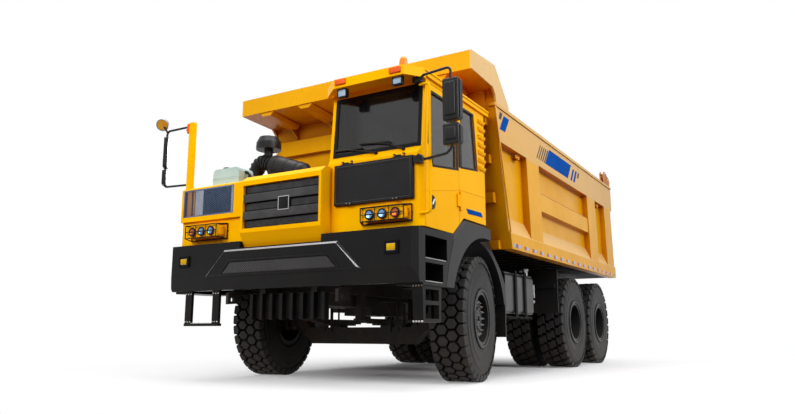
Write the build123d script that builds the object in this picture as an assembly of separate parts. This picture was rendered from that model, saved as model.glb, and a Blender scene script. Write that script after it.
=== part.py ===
from build123d import *
import os
from math import cos, pi, sin

# Mining dump truck with an offset cab, three axles and a rear-tipping body.
# All sizes are millimetres. While the pieces are made, Y is 0 at the front axle,
# +Y runs to the rear, +X is the truck's left (the cab's side) and the ground is at
# Z 0. save() moves each finished piece so that the origin is under the middle of
# the truck.

# ---------------------------------------------------------------- driving sizes
HALF_WIDTH = 1994  # body and canopy, from the centre plane
FRONT_END = -1980  # foremost point, the lamp pods
REAR_END = 6950  # rearmost point, the tailgate

TYRE_R = 807.5
TREAD_DEPTH = 38
BEAD_R = 330  # tyre's inner radius, seated on the rim
RIM_FLANGE_R = 360
RIM_WIDTH = 440
FIT_GAP = 0.5  # between curved pieces that sit in each other

FRONT_WHEEL_X = 1568
KINGPIN_X = 1240
KINGPIN_R = 45
STEER_REST = 8  # degrees that the front wheels are turned to the left as it parks
MIDDLE_AXLE_Y = 4300
AXLE_SPACING = 1730  # from the middle axle to the rear one
REAR_AXLES_Y = (MIDDLE_AXLE_Y, MIDDLE_AXLE_Y + AXLE_SPACING)
DUAL_SPACING = 610
REAR_OUTER_X = 1581  # middle of an outer rear tyre
SPINDLE_R = 90
STUB_R = 70

RAIL_X = 405  # middle of a chassis rail
RAIL_WIDTH = 90
RAIL_BOTTOM = 1110
RAIL_TOP = 1490
RAIL_FRONT = -1690
RAIL_REAR = 6620

PIVOT_Y, PIVOT_Z = 6550, 1420  # body's tipping hinge
PIVOT_TUBE_R = 70
PIVOT_CLEARANCE = 0.5
REST_GAP = 0.3  # round what is seated in a frame or rests on a pad
EAR_X, EAR_WIDTH = 520, 60  # body's hinge ears, beside the rails

BUMPER_FRONT = -1890
BUMPER_TOP = 1765
BUMPER_BOTTOM = 1140
BUMPER_DEPTH = 180
BUMPER_KNEE = 1330  # where the lower face turns back
BUMPER_CORNER = 60
SIDE_X = 1907  # bumper ends, step boxes and mudguards
STEP_REAR = -1190

HOOD_HALF = 635
HOOD_FRONT = -1900
HOOD_REAR = -420
HOOD_TOP = 2600
CHIN_Z = 1680  # lower edge of the hood's front, over the bumper
CHIN_BACK = 105  # the hood's front slopes back by this below the grille
GRILLE_Z = (1865, 2530)  # grille surround
GRILLE_BORDER = 35
PANEL = 40  # thickness of hood, housing and cab walls

COOLER_X = (-1770, -HOOD_HALF - 10)  # side radiator housing
COOLER_FRONT = -1850
COOLER_REAR = -1250
COOLER_Z = (2093, 2572)

CAB_X = (580, 1880)
CAB_FRONT = -1690
CAB_REAR = 80
CAB_BOTTOM = 1795
CAB_BELT = 2700  # foot of the windscreen
CAB_TOP = 3550  # underside of the roof slab
ROOF_TOP = 3622
RAKE = 70  # windscreen's lean over its height
CAB_ARCH_Y, ARCH_SLOPE = -930, 0.723  # where the cab's lower edge starts to rise
CAB_ARCH_Z = 2025
GLASS = 12
DOOR_FRONT = -1615
DOOR_REAR = -740
DOOR_GAP = 6
DOOR_THICK = 50

ARCH_R = 1030  # mudguards, about the front axle
ARCH_TOP = 2010
ARCH_INNER_X = 1300

BED_BOTTOM = 1778
FLOOR_Z = 1870  # floor plate's underside
PLATE = 40
SIDE_TOP = 3788
POST_DEPTH = 120  # posts and rails stand this far out from the side panels
SIDE_RAIL_Z = 2000  # top of the lower side rail
BAND_Z = 3255  # bottom of the upper side band
WALL_FOOT_Y = 735  # front wall at BED_BOTTOM
WALL_TOP_Y = 285  # front wall at SIDE_TOP
CANOPY_FRONT = -535
CANOPY_RISE = 202  # canopy sheet over the sides
CANOPY_UPSTAND = 272  # its front edge over the sheet
CANOPY_SHEET_Z = SIDE_TOP + CANOPY_RISE
CANOPY_TOP = CANOPY_SHEET_Z + CANOPY_UPSTAND
GATE_Y = 6870
GATE_HINGE_Y, GATE_HINGE_Z = 6700, 3900

HOIST_BASE_Y, HOIST_BASE_Z = 200, 1150
HOIST_EYE_Y, HOIST_EYE_Z = 180, 3100
HOIST_RADII = (130, 112, 94, 76, 58)  # barrel, then each stage
HOIST_STEP = 0.6  # running gap between stages

AXLE_Z = TYRE_R
SHIFT_Y = -(FRONT_END + REAR_END) / 2


# ---------------------------------------------------------------- helpers
def block(x, y, z):
    """A box from its (low, high) pair along each axis."""
    size = [high - low for low, high in (x, y, z)]
    middle = [(high + low) / 2 for low, high in (x, y, z)]
    return Pos(*middle) * Box(*size)


def side_shape(points, x):
    """(Y, Z) points, extruded over the (low, high) pair x."""
    face = make_face(Polyline(*[(x[0], y, z) for y, z in points], close=True))
    return extrude(face, x[1] - x[0], dir=(1, 0, 0))


def front_shape(points, y):
    """(X, Z) points, extruded over the (low, high) pair y."""
    face = make_face(Polyline(*[(px, y[0], pz) for px, pz in points], close=True))
    return extrude(face, y[1] - y[0], dir=(0, 1, 0))


def plan_shape(points, z):
    """(X, Y) points, extruded over the (low, high) pair z."""
    face = make_face(Polyline(*[(px, py, z[0]) for px, py in points], close=True))
    return extrude(face, z[1] - z[0], dir=(0, 0, 1))


def rod(start, end, radius):
    """A round bar between two points."""
    way = Vector(*end) - Vector(*start)
    return extrude(Plane(start, z_dir=way) * Circle(radius), way.length)


def tube_run(points, radius, bend):
    """A round bar along points, with every corner bent to one radius."""
    path = FilletPolyline(*points, radius=bend)
    return sweep(Plane(path @ 0, z_dir=path % 0) * Circle(radius), path)


def fused(shapes):
    whole = shapes[0]
    for shape in shapes[1:]:
        whole = whole + shape
    return whole


def turned(points, x=0.0):
    """(X, radius) points spun about the X axis, and moved along it by x."""
    face = make_face(Polyline(*[(px, 0, r) for px, r in points], close=True))
    return Pos(x, 0, 0) * revolve(face, Axis.X)


def opposite(shape):
    """The same piece on the truck's other side."""
    return shape.mirror(Plane.YZ)


def save(name, shapes):
    solids = [s for shape in shapes for s in shape.solids()]
    whole = solids[0] if len(solids) == 1 else Compound(solids)
    export_step(Pos(0, SHIFT_Y, 0) * whole, f"parts/{name}.step")


os.makedirs("parts", exist_ok=True)


# ---------------------------------------------------------------- wheels
LUG_COUNT = 26
LUG_SHARE = 0.62  # of a pitch, across a lug's top
LUG_FOOT_SHARE = 0.76
TYRE_HALF = 236  # flat sides, at the tread
BEAD_SIDES = 20
BEAD_HALF = 217
DISH_R = 560  # the sidewalls dish inward from here to the bead


def lug_ring(half):
    """The tread: lugs with flat tops round a ring, one of them resting on the ground."""
    pitch = 2 * pi / LUG_COUNT
    half_top, half_foot = pitch * LUG_SHARE / 2, pitch * LUG_FOOT_SHARE / 2
    top_r, groove_r = TYRE_R / cos(half_top), TYRE_R - TREAD_DEPTH
    outline = []
    for n in range(LUG_COUNT):
        corners = (-half_foot, groove_r), (-half_top, top_r), (half_top, top_r), (half_foot, groove_r)
        for turn, radius in corners:
            at = n * pitch + turn
            outline.append((-half, radius * sin(at), -radius * cos(at)))
    return extrude(make_face(Polyline(*outline, close=True)), 2 * half, dir=(1, 0, 0))


def many_sided(x, flat_r):
    """Corner points of a section across the axle, with flats at flat_r."""
    corner_r = flat_r / cos(pi / BEAD_SIDES)
    turns = [2 * pi * (n + 0.5) / BEAD_SIDES for n in range(BEAD_SIDES)]
    return [(x, corner_r * sin(t), -corner_r * cos(t)) for t in turns]


def flat_face(points):
    return make_face(Polyline(*points, close=True))


def dish():
    """What a sidewall's hollow takes away: a many-sided cone from the bead to DISH_R."""
    bead, brim = many_sided(BEAD_HALF, BEAD_R), many_sided(TYRE_HALF, DISH_R)
    faces = [flat_face(bead), flat_face(brim)]
    for n in range(BEAD_SIDES):
        after = (n + 1) % BEAD_SIDES
        faces.append(flat_face([bead[n], bead[after], brim[after], brim[n]]))
    return Solid(Shell(faces))


def tyre(x):
    bore = extrude(flat_face(many_sided(-TYRE_HALF, BEAD_R)), 2 * TYRE_HALF, dir=(1, 0, 0))
    ring = lug_ring(TYRE_HALF) - bore
    return Pos(x, 0, 0) * (ring - dish() - opposite(dish()))


def rim_barrel(x):
    half = RIM_WIDTH / 2
    barrel_r = BEAD_R - FIT_GAP
    inner_r = barrel_r - 22
    profile = [
        (-half - 12, inner_r),
        (-half - 12, RIM_FLANGE_R),
        (-half, RIM_FLANGE_R),
        (-half, barrel_r),
        (half, barrel_r),
        (half, RIM_FLANGE_R),
        (half + 12, RIM_FLANGE_R),
        (half + 12, inner_r),
    ]
    return turned(profile, x)


BARREL_INNER_R = BEAD_R - FIT_GAP - 20
HAND_HOLES = 10
HAND_HOLE_R = 32
HAND_HOLE_CIRCLE = 240


def hand_holes(x):
    turns = [360 * k / HAND_HOLES for k in range(HAND_HOLES)]
    return [Pos(x, 0, 0) * Rot(t, 0, 0) * Pos(0, 0, HAND_HOLE_CIRCLE) * Rot(0, 90, 0)
            * Cylinder(HAND_HOLE_R, 120) for t in turns]


FRONT_DISC_X = 60  # wheel disc, outward from the tyre's middle
HUB_R = 150
HUB_BORE_LENGTH = 190


def front_rim():
    """Barrel, disc and hub, centred on the wheel, with +X outward."""
    disc = turned([(FRONT_DISC_X, 60), (FRONT_DISC_X + 24, 60),
                   (FRONT_DISC_X + 24, BARREL_INNER_R), (FRONT_DISC_X, BARREL_INNER_R)])
    hub = turned([(-70, 0), (-70, HUB_R), (150, HUB_R), (182, HUB_R - 40), (182, 0)])
    whole = rim_barrel(0) + disc + hub
    for hole in hand_holes(FRONT_DISC_X + 12):
        whole = whole - hole
    bore = turned([(-80, 0), (-80, STUB_R + FIT_GAP),
                   (HUB_BORE_LENGTH - 80, STUB_R + FIT_GAP), (HUB_BORE_LENGTH - 80, 0)])
    return whole - bore


REAR_INNER_X = REAR_OUTER_X - DUAL_SPACING
REAR_DISC_X = (REAR_OUTER_X + REAR_INNER_X) / 2
REAR_HUB_R = 205
REAR_HUB_END = REAR_OUTER_X + 120
SPINDLE_END = 1480


def rear_rims():
    """Both barrels, their discs and the hub, on the truck's left."""
    discs = turned([(REAR_DISC_X - 26, 60), (REAR_DISC_X + 26, 60),
                    (REAR_DISC_X + 26, BARREL_INNER_R), (REAR_DISC_X - 26, BARREL_INNER_R)])
    skirts = turned([(REAR_INNER_X, BARREL_INNER_R - 20), (REAR_OUTER_X, BARREL_INNER_R - 20),
                     (REAR_OUTER_X, BARREL_INNER_R + 4), (REAR_INNER_X, BARREL_INNER_R + 4)])
    hub = turned([(REAR_INNER_X - 60, 0), (REAR_INNER_X - 60, REAR_HUB_R),
                  (REAR_HUB_END - 90, REAR_HUB_R), (REAR_HUB_END - 40, REAR_HUB_R - 30),
                  (REAR_HUB_END - 40, 130), (REAR_HUB_END, 110), (REAR_HUB_END, 0)])
    whole = rim_barrel(REAR_OUTER_X) + rim_barrel(REAR_INNER_X) + discs + skirts + hub
    for hole in hand_holes(REAR_DISC_X):
        whole = whole - hole
    bore = turned([(REAR_INNER_X - 80, 0), (REAR_INNER_X - 80, SPINDLE_R + FIT_GAP),
                   (SPINDLE_END + 5, SPINDLE_R + FIT_GAP), (SPINDLE_END + 5, 0)])
    return whole - bore


def steered(shape, side):
    """Turns a front piece about its kingpin by the angle it parks at."""
    at = Pos(side * KINGPIN_X, 0, 0)
    return at * Rot(0, 0, STEER_REST) * at.inverse() * shape


def front_wheel(side, name):
    place = Pos(side * FRONT_WHEEL_X, 0, AXLE_Z)
    facing = Rot(0, 0, 0) if side > 0 else Rot(0, 0, 180)
    save(f"{name}_tyre", [steered(place * facing * tyre(0), side)])
    save(f"{name}_rim", [steered(place * facing * front_rim(), side)])


front_wheel(1, "front_left")
front_wheel(-1, "front_right")

LEFT_REAR_TYRES = [tyre(REAR_OUTER_X), tyre(REAR_INNER_X)]
LEFT_REAR_RIMS = rear_rims()
for axle_name, axle_y in zip(("middle", "rear"), REAR_AXLES_Y):
    at = Pos(0, axle_y, AXLE_Z)
    save(f"{axle_name}_left_tyres", [at * t for t in LEFT_REAR_TYRES])
    save(f"{axle_name}_left_rims", [at * LEFT_REAR_RIMS])
    save(f"{axle_name}_right_tyres", [at * opposite(t) for t in LEFT_REAR_TYRES])
    save(f"{axle_name}_right_rims", [at * opposite(LEFT_REAR_RIMS)])


# ---------------------------------------------------------------- steering knuckles
ARM_LENGTH = 300  # kingpin to the track rod's ball, along Y
BALL_R = 20
ARM_Z = 668  # middle of the steering arms
FORK_LOW_Z, FORK_HIGH_Z = 690, 925  # fork plates round the axle's eye
FORK_THICK = 45
EYE_R = 78


def knuckle():
    """Fork, kingpin, stub axle and steering arm, on the truck's left."""
    pin = Pos(KINGPIN_X, 0, (FORK_LOW_Z + FORK_HIGH_Z) / 2) * Cylinder(
        KINGPIN_R, FORK_HIGH_Z - FORK_LOW_Z)
    plates = [Pos(KINGPIN_X, 0, z) * Cylinder(EYE_R, FORK_THICK)
              for z in (FORK_LOW_Z, FORK_HIGH_Z)]
    back_x = KINGPIN_X + EYE_R + 12
    bridges = [block((KINGPIN_X, back_x + 30), (-60, 60), (z - FORK_THICK / 2, z + FORK_THICK / 2))
               for z in (FORK_LOW_Z, FORK_HIGH_Z)]
    back = block((back_x, back_x + 40), (-80, 80),
                 (FORK_LOW_Z - FORK_THICK / 2, FORK_HIGH_Z + FORK_THICK / 2))
    stub = rod((back_x + 20, 0, AXLE_Z),
               (FRONT_WHEEL_X - 80 + HUB_BORE_LENGTH - 5, 0, AXLE_Z), STUB_R)
    arm = plan_shape([(KINGPIN_X - 40, 20), (KINGPIN_X + 40, 20), (KINGPIN_X + 32, ARM_LENGTH),
                      (KINGPIN_X - 32, ARM_LENGTH)], (ARM_Z, ARM_Z + 36))
    eye = Pos(KINGPIN_X, ARM_LENGTH, ARM_Z + 18) * Cylinder(38, 36)
    whole = pin + plates[0] + plates[1] + bridges[0] + bridges[1] + back + stub + arm + eye
    ball_hole = Pos(KINGPIN_X, ARM_LENGTH, ARM_Z) * Cylinder(BALL_R + FIT_GAP, 120)
    return whole - ball_hole


LEFT_KNUCKLE = knuckle()
save("left_knuckle", [steered(LEFT_KNUCKLE, 1)])
save("right_knuckle", [steered(opposite(LEFT_KNUCKLE), -1)])

# The track rod stays parallel to the axle, because both arms are alike and straight.
ARM_SWING = Vector(0, ARM_LENGTH, 0).rotate(Axis.Z, STEER_REST)
ROD_LEFT = (KINGPIN_X + ARM_SWING.X, ARM_SWING.Y)
ROD_RIGHT = (-KINGPIN_X + ARM_SWING.X, ARM_SWING.Y)
ROD_Z = ARM_Z - 50


# ---------------------------------------------------------------- front axle and springs
BEAM_Z = (470, 700)
BEAM_EYE_Z = (FORK_LOW_Z + FORK_THICK / 2 + 5, FORK_HIGH_Z - FORK_THICK / 2 - 5)
beam_half = KINGPIN_X - 40
beam_outline = [
    (-beam_half, BEAM_EYE_Z[0]), (-beam_half, BEAM_EYE_Z[1]), (-1090, BEAM_EYE_Z[1]),
    (-900, BEAM_Z[1]), (900, BEAM_Z[1]), (1090, BEAM_EYE_Z[1]),
    (beam_half, BEAM_EYE_Z[1]), (beam_half, BEAM_EYE_Z[0]), (1110, BEAM_EYE_Z[0]),
    (850, BEAM_Z[0]), (-850, BEAM_Z[0]), (-1110, BEAM_EYE_Z[0]),
]
beam = front_shape(beam_outline, (-85, 85))
for side in (-1, 1):
    eye_middle = (BEAM_EYE_Z[0] + BEAM_EYE_Z[1]) / 2
    eye_height = BEAM_EYE_Z[1] - BEAM_EYE_Z[0]
    beam = beam + Pos(side * KINGPIN_X, 0, eye_middle) * Cylinder(EYE_R, eye_height)
    beam = beam - Pos(side * KINGPIN_X, 0, eye_middle) * Cylinder(KINGPIN_R + FIT_GAP, 400)
save("front_axle", [beam])

SPRING_WIDTH = 100
SPRING_LEAF = 22
FRONT_LEAVES = ((780, 0), (620, 1), (470, 2), (330, 3))  # half length, leaf number
front_spring_top = BEAM_Z[1] + 110
front_springs = [
    block((RAIL_X - SPRING_WIDTH / 2, RAIL_X + SPRING_WIDTH / 2), (-half, half),
          (front_spring_top - (n + 1) * SPRING_LEAF, front_spring_top - n * SPRING_LEAF))
    for half, n in FRONT_LEAVES]
front_springs.append(block((RAIL_X - 70, RAIL_X + 70), (-90, 90),
                           (BEAM_Z[1], front_spring_top - len(FRONT_LEAVES) * SPRING_LEAF)))
for end in (-700, 700):
    front_springs.append(block((RAIL_X - 45, RAIL_X + 45), (end - 50, end + 50),
                               (front_spring_top, RAIL_BOTTOM)))

# ---------------------------------------------------------------- rear axles
DIFF_R = 300
DIFF_HALF = 130
NOSE = 330  # pinion housing, forward of the axle
AXLE_TUBE_R = 125
axle_solids = []
for axle_y in REAR_AXLES_Y:
    housing = rod((-REAR_INNER_X + 240, axle_y, AXLE_Z), (REAR_INNER_X - 240, axle_y, AXLE_Z),
                  AXLE_TUBE_R)
    housing = housing + Pos(0, axle_y, AXLE_Z) * Rot(90, 0, 0) * Cylinder(DIFF_R, 2 * DIFF_HALF)
    housing = housing + rod((0, axle_y - NOSE, AXLE_Z), (0, axle_y, AXLE_Z), 120)
    housing = housing + rod((-SPINDLE_END, axle_y, AXLE_Z), (SPINDLE_END, axle_y, AXLE_Z),
                            SPINDLE_R)
    axle_solids.append(housing)
save("rear_axles", axle_solids)

TRUNNION_Y = sum(REAR_AXLES_Y) / 2
TRUNNION_Z = 700
REAR_SPRING_X = 560
rear_spring_leaves = ((900, 0), (760, 1), (600, 2), (450, 3), (300, 4))
rear_spring_top = AXLE_Z + AXLE_TUBE_R + 5 * SPRING_LEAF
rear_springs = [
    block((REAR_SPRING_X - 55, REAR_SPRING_X + 55), (TRUNNION_Y - half, TRUNNION_Y + half),
          (rear_spring_top - (n + 1) * SPRING_LEAF, rear_spring_top - n * SPRING_LEAF))
    for half, n in rear_spring_leaves]
for axle_y in REAR_AXLES_Y:
    rear_springs.append(block((REAR_SPRING_X - 55, REAR_SPRING_X + 55), (axle_y - 90, axle_y + 90),
                              (AXLE_Z + AXLE_TUBE_R, rear_spring_top - SPRING_LEAF)))
saddle = block((REAR_SPRING_X - 70, REAR_SPRING_X + 70), (TRUNNION_Y - 130, TRUNNION_Y + 130),
               (TRUNNION_Z - 90, AXLE_Z + AXLE_TUBE_R))
TRUNNION_R = 60
trunnion_bar = rod((-REAR_SPRING_X, TRUNNION_Y, TRUNNION_Z), (REAR_SPRING_X, TRUNNION_Y, TRUNNION_Z),
                   TRUNNION_R)
left_springs = front_springs + rear_springs
save("leaf_springs", left_springs + [opposite(leaf) for leaf in left_springs]
     + [saddle + trunnion_bar + opposite(saddle)])


# ---------------------------------------------------------------- chassis frame
RAIL_INNER = RAIL_X - RAIL_WIDTH / 2
RAIL_OUTER = RAIL_X + RAIL_WIDTH / 2
CROSS_MEMBERS = ((-1600, 160, 200), (1150, 120, 240), (2500, 120, 240),
                 (3600, 120, 240), (5165, 200, 300), (6350, 120, 240))  # Y, length, height
frame_shapes = []
for at_y, length, height in CROSS_MEMBERS:
    middle = (RAIL_BOTTOM + RAIL_TOP) / 2
    frame_shapes.append(block((-RAIL_INNER, RAIL_INNER), (at_y - length / 2, at_y + length / 2),
                              (middle - height / 2, middle + height / 2)))
frame_shapes.append(rod((-RAIL_INNER, PIVOT_Y, PIVOT_Z), (RAIL_INNER, PIVOT_Y, PIVOT_Z), PIVOT_TUBE_R))
# The hoist's lower bracket: two cheeks on a cross-beam, with the pin between them.
HOIST_GAP_X = 95
HOIST_PIN_R = 35
HOIST_BEAM_Y = (HOIST_BASE_Y - 260, HOIST_BASE_Y - 180)
frame_shapes.append(block((-RAIL_INNER, RAIL_INNER), HOIST_BEAM_Y, (RAIL_BOTTOM, 1350)))
frame_shapes.append(rod((-HOIST_GAP_X, HOIST_BASE_Y, HOIST_BASE_Z),
                        (HOIST_GAP_X, HOIST_BASE_Y, HOIST_BASE_Z), HOIST_PIN_R))
# Everything that follows is made for the left side, and some of it for the right too.
both_sides = [
    block((RAIL_INNER, RAIL_OUTER), (RAIL_FRONT, RAIL_REAR), (RAIL_BOTTOM, RAIL_TOP)),
    rod((RAIL_OUTER, PIVOT_Y, PIVOT_Z), (EAR_X + EAR_WIDTH, PIVOT_Y, PIVOT_Z), PIVOT_TUBE_R),
    block((HOIST_GAP_X, HOIST_GAP_X + 40), (HOIST_BEAM_Y[1], HOIST_BASE_Y + 80),
          (HOIST_BASE_Z - 80, HOIST_BASE_Z + 60))]
# Hangers carry the rear suspension's trunnion bar.
hanger = side_shape([(TRUNNION_Y - 240, RAIL_BOTTOM), (TRUNNION_Y + 240, RAIL_BOTTOM),
                     (TRUNNION_Y + 90, TRUNNION_Z - 90), (TRUNNION_Y - 90, TRUNNION_Z - 90)],
                    (RAIL_X - 40, RAIL_X + 40))
both_sides.append(hanger - rod((-REAR_SPRING_X, TRUNNION_Y, TRUNNION_Z),
                               (REAR_SPRING_X, TRUNNION_Y, TRUNNION_Z), TRUNNION_R + FIT_GAP))
# Outriggers reach the bumper, the cab, the steps and the tanks.
TANK_X = (1080, 1610)  # fuel tank, and the battery box on the other side
OUTRIGGERS = ((-1640, 1500, 1240, 1440), (1500, TANK_X[0], 1160, 1300), (2520, TANK_X[0], 1160, 1300))
for at_y, reach, low, high in OUTRIGGERS:
    both_sides.append(block((RAIL_OUTER, reach), (at_y - 45, at_y + 45), (low, high)))
TOW_EYE_R = 32
TOW_EYE_Y, TOW_EYE_Z = -1770, 1040
tow_plate = side_shape([(-1600, RAIL_BOTTOM + 80), (-1600, RAIL_BOTTOM - 110),
                        (TOW_EYE_Y - 80, RAIL_BOTTOM - 130), (TOW_EYE_Y - 80, RAIL_BOTTOM + 10)],
                       (830, 870))
tow_plate = tow_plate - rod((800, TOW_EYE_Y, TOW_EYE_Z), (900, TOW_EYE_Y, TOW_EYE_Z), TOW_EYE_R)
tow_arm = block((800, 870), (-1690, -1595), (RAIL_BOTTOM + 20, OUTRIGGERS[0][2]))
both_sides.append(tow_arm + tow_plate)
# Two stands carry the cab, beside the left rail.
stand_x = (CAB_X[0], CAB_X[0] + 140)
frame_shapes.append(block(stand_x, (-1645, -1555), (OUTRIGGERS[0][3], CAB_BOTTOM)))
frame_shapes.append(block((RAIL_OUTER, stand_x[1]), (-295, -205), (1300, 1440)))
frame_shapes.append(block(stand_x, (-295, -205), (1440, CAB_ARCH_Z)))
save("chassis_frame", frame_shapes + both_sides + [opposite(shape) for shape in both_sides])

# Prop shafts and gearbox, seen from below.
ENGINE_Y = (-1400, -150)
SHAFT_Z = 870
gearbox = block((-230, 230), (ENGINE_Y[1], 760), (860, 1060))
front_shaft = rod((0, 760, SHAFT_Z), (0, REAR_AXLES_Y[0] - NOSE, SHAFT_Z), 60)
rear_shaft = rod((0, REAR_AXLES_Y[0] + DIFF_HALF, SHAFT_Z), (0, REAR_AXLES_Y[1] - NOSE, SHAFT_Z), 50)
save("driveline", [gearbox + front_shaft, rear_shaft])
engine = block((-330, 330), ENGINE_Y, (960, 2000))
for at_y in (-1200, -400):
    engine = engine + block((-RAIL_INNER, RAIL_INNER), (at_y - 60, at_y + 60), (1200, 1300))
save("engine_block", [engine])

# ---------------------------------------------------------------- bumper with step boxes
bumper = side_shape([
    (BUMPER_FRONT, BUMPER_TOP), (BUMPER_FRONT, BUMPER_KNEE), (BUMPER_FRONT + 80, BUMPER_BOTTOM + 25),
    (BUMPER_FRONT + BUMPER_DEPTH, BUMPER_BOTTOM + 25), (BUMPER_FRONT + BUMPER_DEPTH, BUMPER_TOP)],
    (-SIDE_X, SIDE_X))
bumper = bumper - block((-HOOD_HALF - 4, HOOD_HALF + 4), (BUMPER_FRONT - 10, 0), (CHIN_Z, BUMPER_TOP + 10))
for side in (-1, 1):
    corner = plan_shape([(side * (SIDE_X - BUMPER_CORNER), BUMPER_FRONT - 1),
                         (side * (SIDE_X + 1), BUMPER_FRONT - 1),
                         (side * (SIDE_X + 1), BUMPER_FRONT + BUMPER_CORNER)],
                        (BUMPER_BOTTOM - 50, BUMPER_TOP + 50))
    bumper = bumper - corner
STEP_INNER_X = 1560
STEP_WALL = 45
STEP_OPENINGS = ((1435, 1690), (1180, 1390))  # low and high edges
step_front = BUMPER_FRONT + BUMPER_DEPTH
step_box = side_shape([(step_front - 30, BUMPER_TOP), (-950, BUMPER_TOP + 20), (-1090, 1450),
                       (STEP_REAR, BUMPER_BOTTOM), (step_front - 30, BUMPER_BOTTOM)],
                      (STEP_INNER_X, SIDE_X))
for low, high in STEP_OPENINGS:
    rear = -1150 if low > 1400 else -1255
    step_box = step_box - block((STEP_INNER_X + STEP_WALL, SIDE_X + 10), (-1685, rear), (low, high))
bumper = bumper + step_box + opposite(step_box)
RAISED = [(-885, 1665), (885, 1665), (1215, 1332), (-1215, 1332)]
raised = front_shape(RAISED, (BUMPER_FRONT - 30, BUMPER_FRONT))
bumper = bumper + chamfer(raised.faces().sort_by(Axis.Y)[0].edges(), 25)
# Two arms join the bumper to the chassis rails.
for side in (-1, 1):
    bumper = bumper + block(sorted((side * (RAIL_X - 40), side * (RAIL_X + 40))),
                            (BUMPER_FRONT + BUMPER_DEPTH - 5, RAIL_FRONT), (1200, 1440))
save("front_bumper", [bumper])

# ---------------------------------------------------------------- hood
hood_outer = side_shape([
    (HOOD_FRONT + CHIN_BACK, CHIN_Z), (HOOD_FRONT, GRILLE_Z[0]), (HOOD_FRONT, GRILLE_Z[1]),
    (HOOD_FRONT + 90, HOOD_TOP), (HOOD_REAR, HOOD_TOP), (HOOD_REAR, 1900), (-1500, 1900),
    (-1500, CHIN_Z + 100), (-1700, CHIN_Z + 100), (-1700, CHIN_Z)], (-HOOD_HALF, HOOD_HALF))
# The hood's left rear half makes room for the cab.
cab_room = block((CAB_X[0] - 4, 2000), (CAB_FRONT - 4, 0), (1500, 2800))
hood_hollow = block((-HOOD_HALF + PANEL, HOOD_HALF - PANEL), (-1800, HOOD_REAR + 200),
                    (1500, HOOD_TOP - PANEL))
hood_hollow = hood_hollow - block((CAB_X[0] - 4 - PANEL, 2000), (CAB_FRONT - 4 - PANEL, 0), (1500, 2800))
grille_hole = block((-HOOD_HALF + GRILLE_BORDER, HOOD_HALF - GRILLE_BORDER),
                    (HOOD_FRONT - 10, -1790),
                    (GRILLE_Z[0] + 50, GRILLE_Z[1] - 60))
hood = hood_outer - cab_room - hood_hollow - grille_hole
hood = hood - block((-HOOD_HALF + PANEL, CAB_X[0] - 4 - PANEL), (HOOD_REAR - 5, HOOD_REAR + 250),
                    (1500, 2300))
save("front_hood", [hood])

# Five stacked bands, the second and fourth standing proud, on a back plate.
band_low, band_high = GRILLE_Z[0] + 50, GRILLE_Z[1] - 60
BAND_COUNT = 5
band_pitch = (band_high - band_low) / BAND_COUNT
grille_half = HOOD_HALF - GRILLE_BORDER - REST_GAP
grille = block((-grille_half, grille_half), (-1822, -1802), (band_low + REST_GAP, band_high - REST_GAP))
for n in range(BAND_COUNT):
    depth = 52 if n % 2 else 34
    grille = grille + block((-grille_half, grille_half), (-1822 - depth, -1820),
                            (band_low + n * band_pitch + 8, band_low + (n + 1) * band_pitch - 8))
BADGE = 85
grille = grille + block((60 - BADGE, 60 + BADGE), (-1888, -1820),
                        ((band_low + band_high) / 2 - BADGE, (band_low + band_high) / 2 + BADGE))

# ---------------------------------------------------------------- side radiator housing
lower_front = COOLER_FRONT + 45
cooler_outer = side_shape([
    (COOLER_FRONT, COOLER_Z[0]), (COOLER_FRONT, COOLER_Z[1] - 30), (COOLER_FRONT + 60, COOLER_Z[1]),
    (COOLER_REAR, COOLER_Z[1]), (COOLER_REAR, BUMPER_TOP + 25), (lower_front, BUMPER_TOP),
    (lower_front, COOLER_Z[0])],
    COOLER_X)
cooler_hollow = block((COOLER_X[0] + PANEL, COOLER_X[1] - PANEL), (lower_front + PANEL, COOLER_REAR - PANEL),
                      (1700, COOLER_Z[1] - PANEL))
COOLER_OPEN_X = (COOLER_X[0] + 38, COOLER_X[1] - 167)
COOLER_OPEN_Z = (2155, 2528)
cooler_hole = block(COOLER_OPEN_X, (COOLER_FRONT - 10, lower_front + PANEL + 10), COOLER_OPEN_Z)
cooler = cooler_outer - cooler_hollow - cooler_hole
# The yellow mirror post stands on the housing's outer front corner.
POST_X, POST_Y, POST_TOP = (COOLER_X[0] + 5, COOLER_X[0] + 80), (-1800, -1730), 3525
mirror_post = block(POST_X, POST_Y, (COOLER_Z[1] - 20, POST_TOP))
cooler = cooler + mirror_post
save("side_radiator_housing", [cooler])
cooler_mesh = block((COOLER_OPEN_X[0] + REST_GAP, COOLER_OPEN_X[1] - REST_GAP),
                    (COOLER_FRONT + 22, COOLER_FRONT + 40),
                    (COOLER_OPEN_Z[0] + REST_GAP, COOLER_OPEN_Z[1] - REST_GAP))
MESH = [(-755, 1500), (755, 1500), (887, 1363), (-887, 1363)]
bumper_mesh = front_shape(MESH, (BUMPER_FRONT - 38, BUMPER_FRONT - 30))
save("front_grilles", [grille, cooler_mesh, bumper_mesh])

# ---------------------------------------------------------------- deck on the right
DECK_Z = 2093
deck = block((COOLER_X[0], -HOOD_HALF), (COOLER_REAR, CAB_REAR), (DECK_Z - PANEL, DECK_Z))
deck = deck + block((COOLER_X[0], COOLER_X[0] + PANEL), (COOLER_REAR, CAB_REAR), (DECK_Z - 60, DECK_Z + 60))
deck = deck + block((-HOOD_HALF - PANEL, -HOOD_HALF), (COOLER_REAR, CAB_REAR), (1790, DECK_Z))
save("right_deck", [deck])

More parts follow.
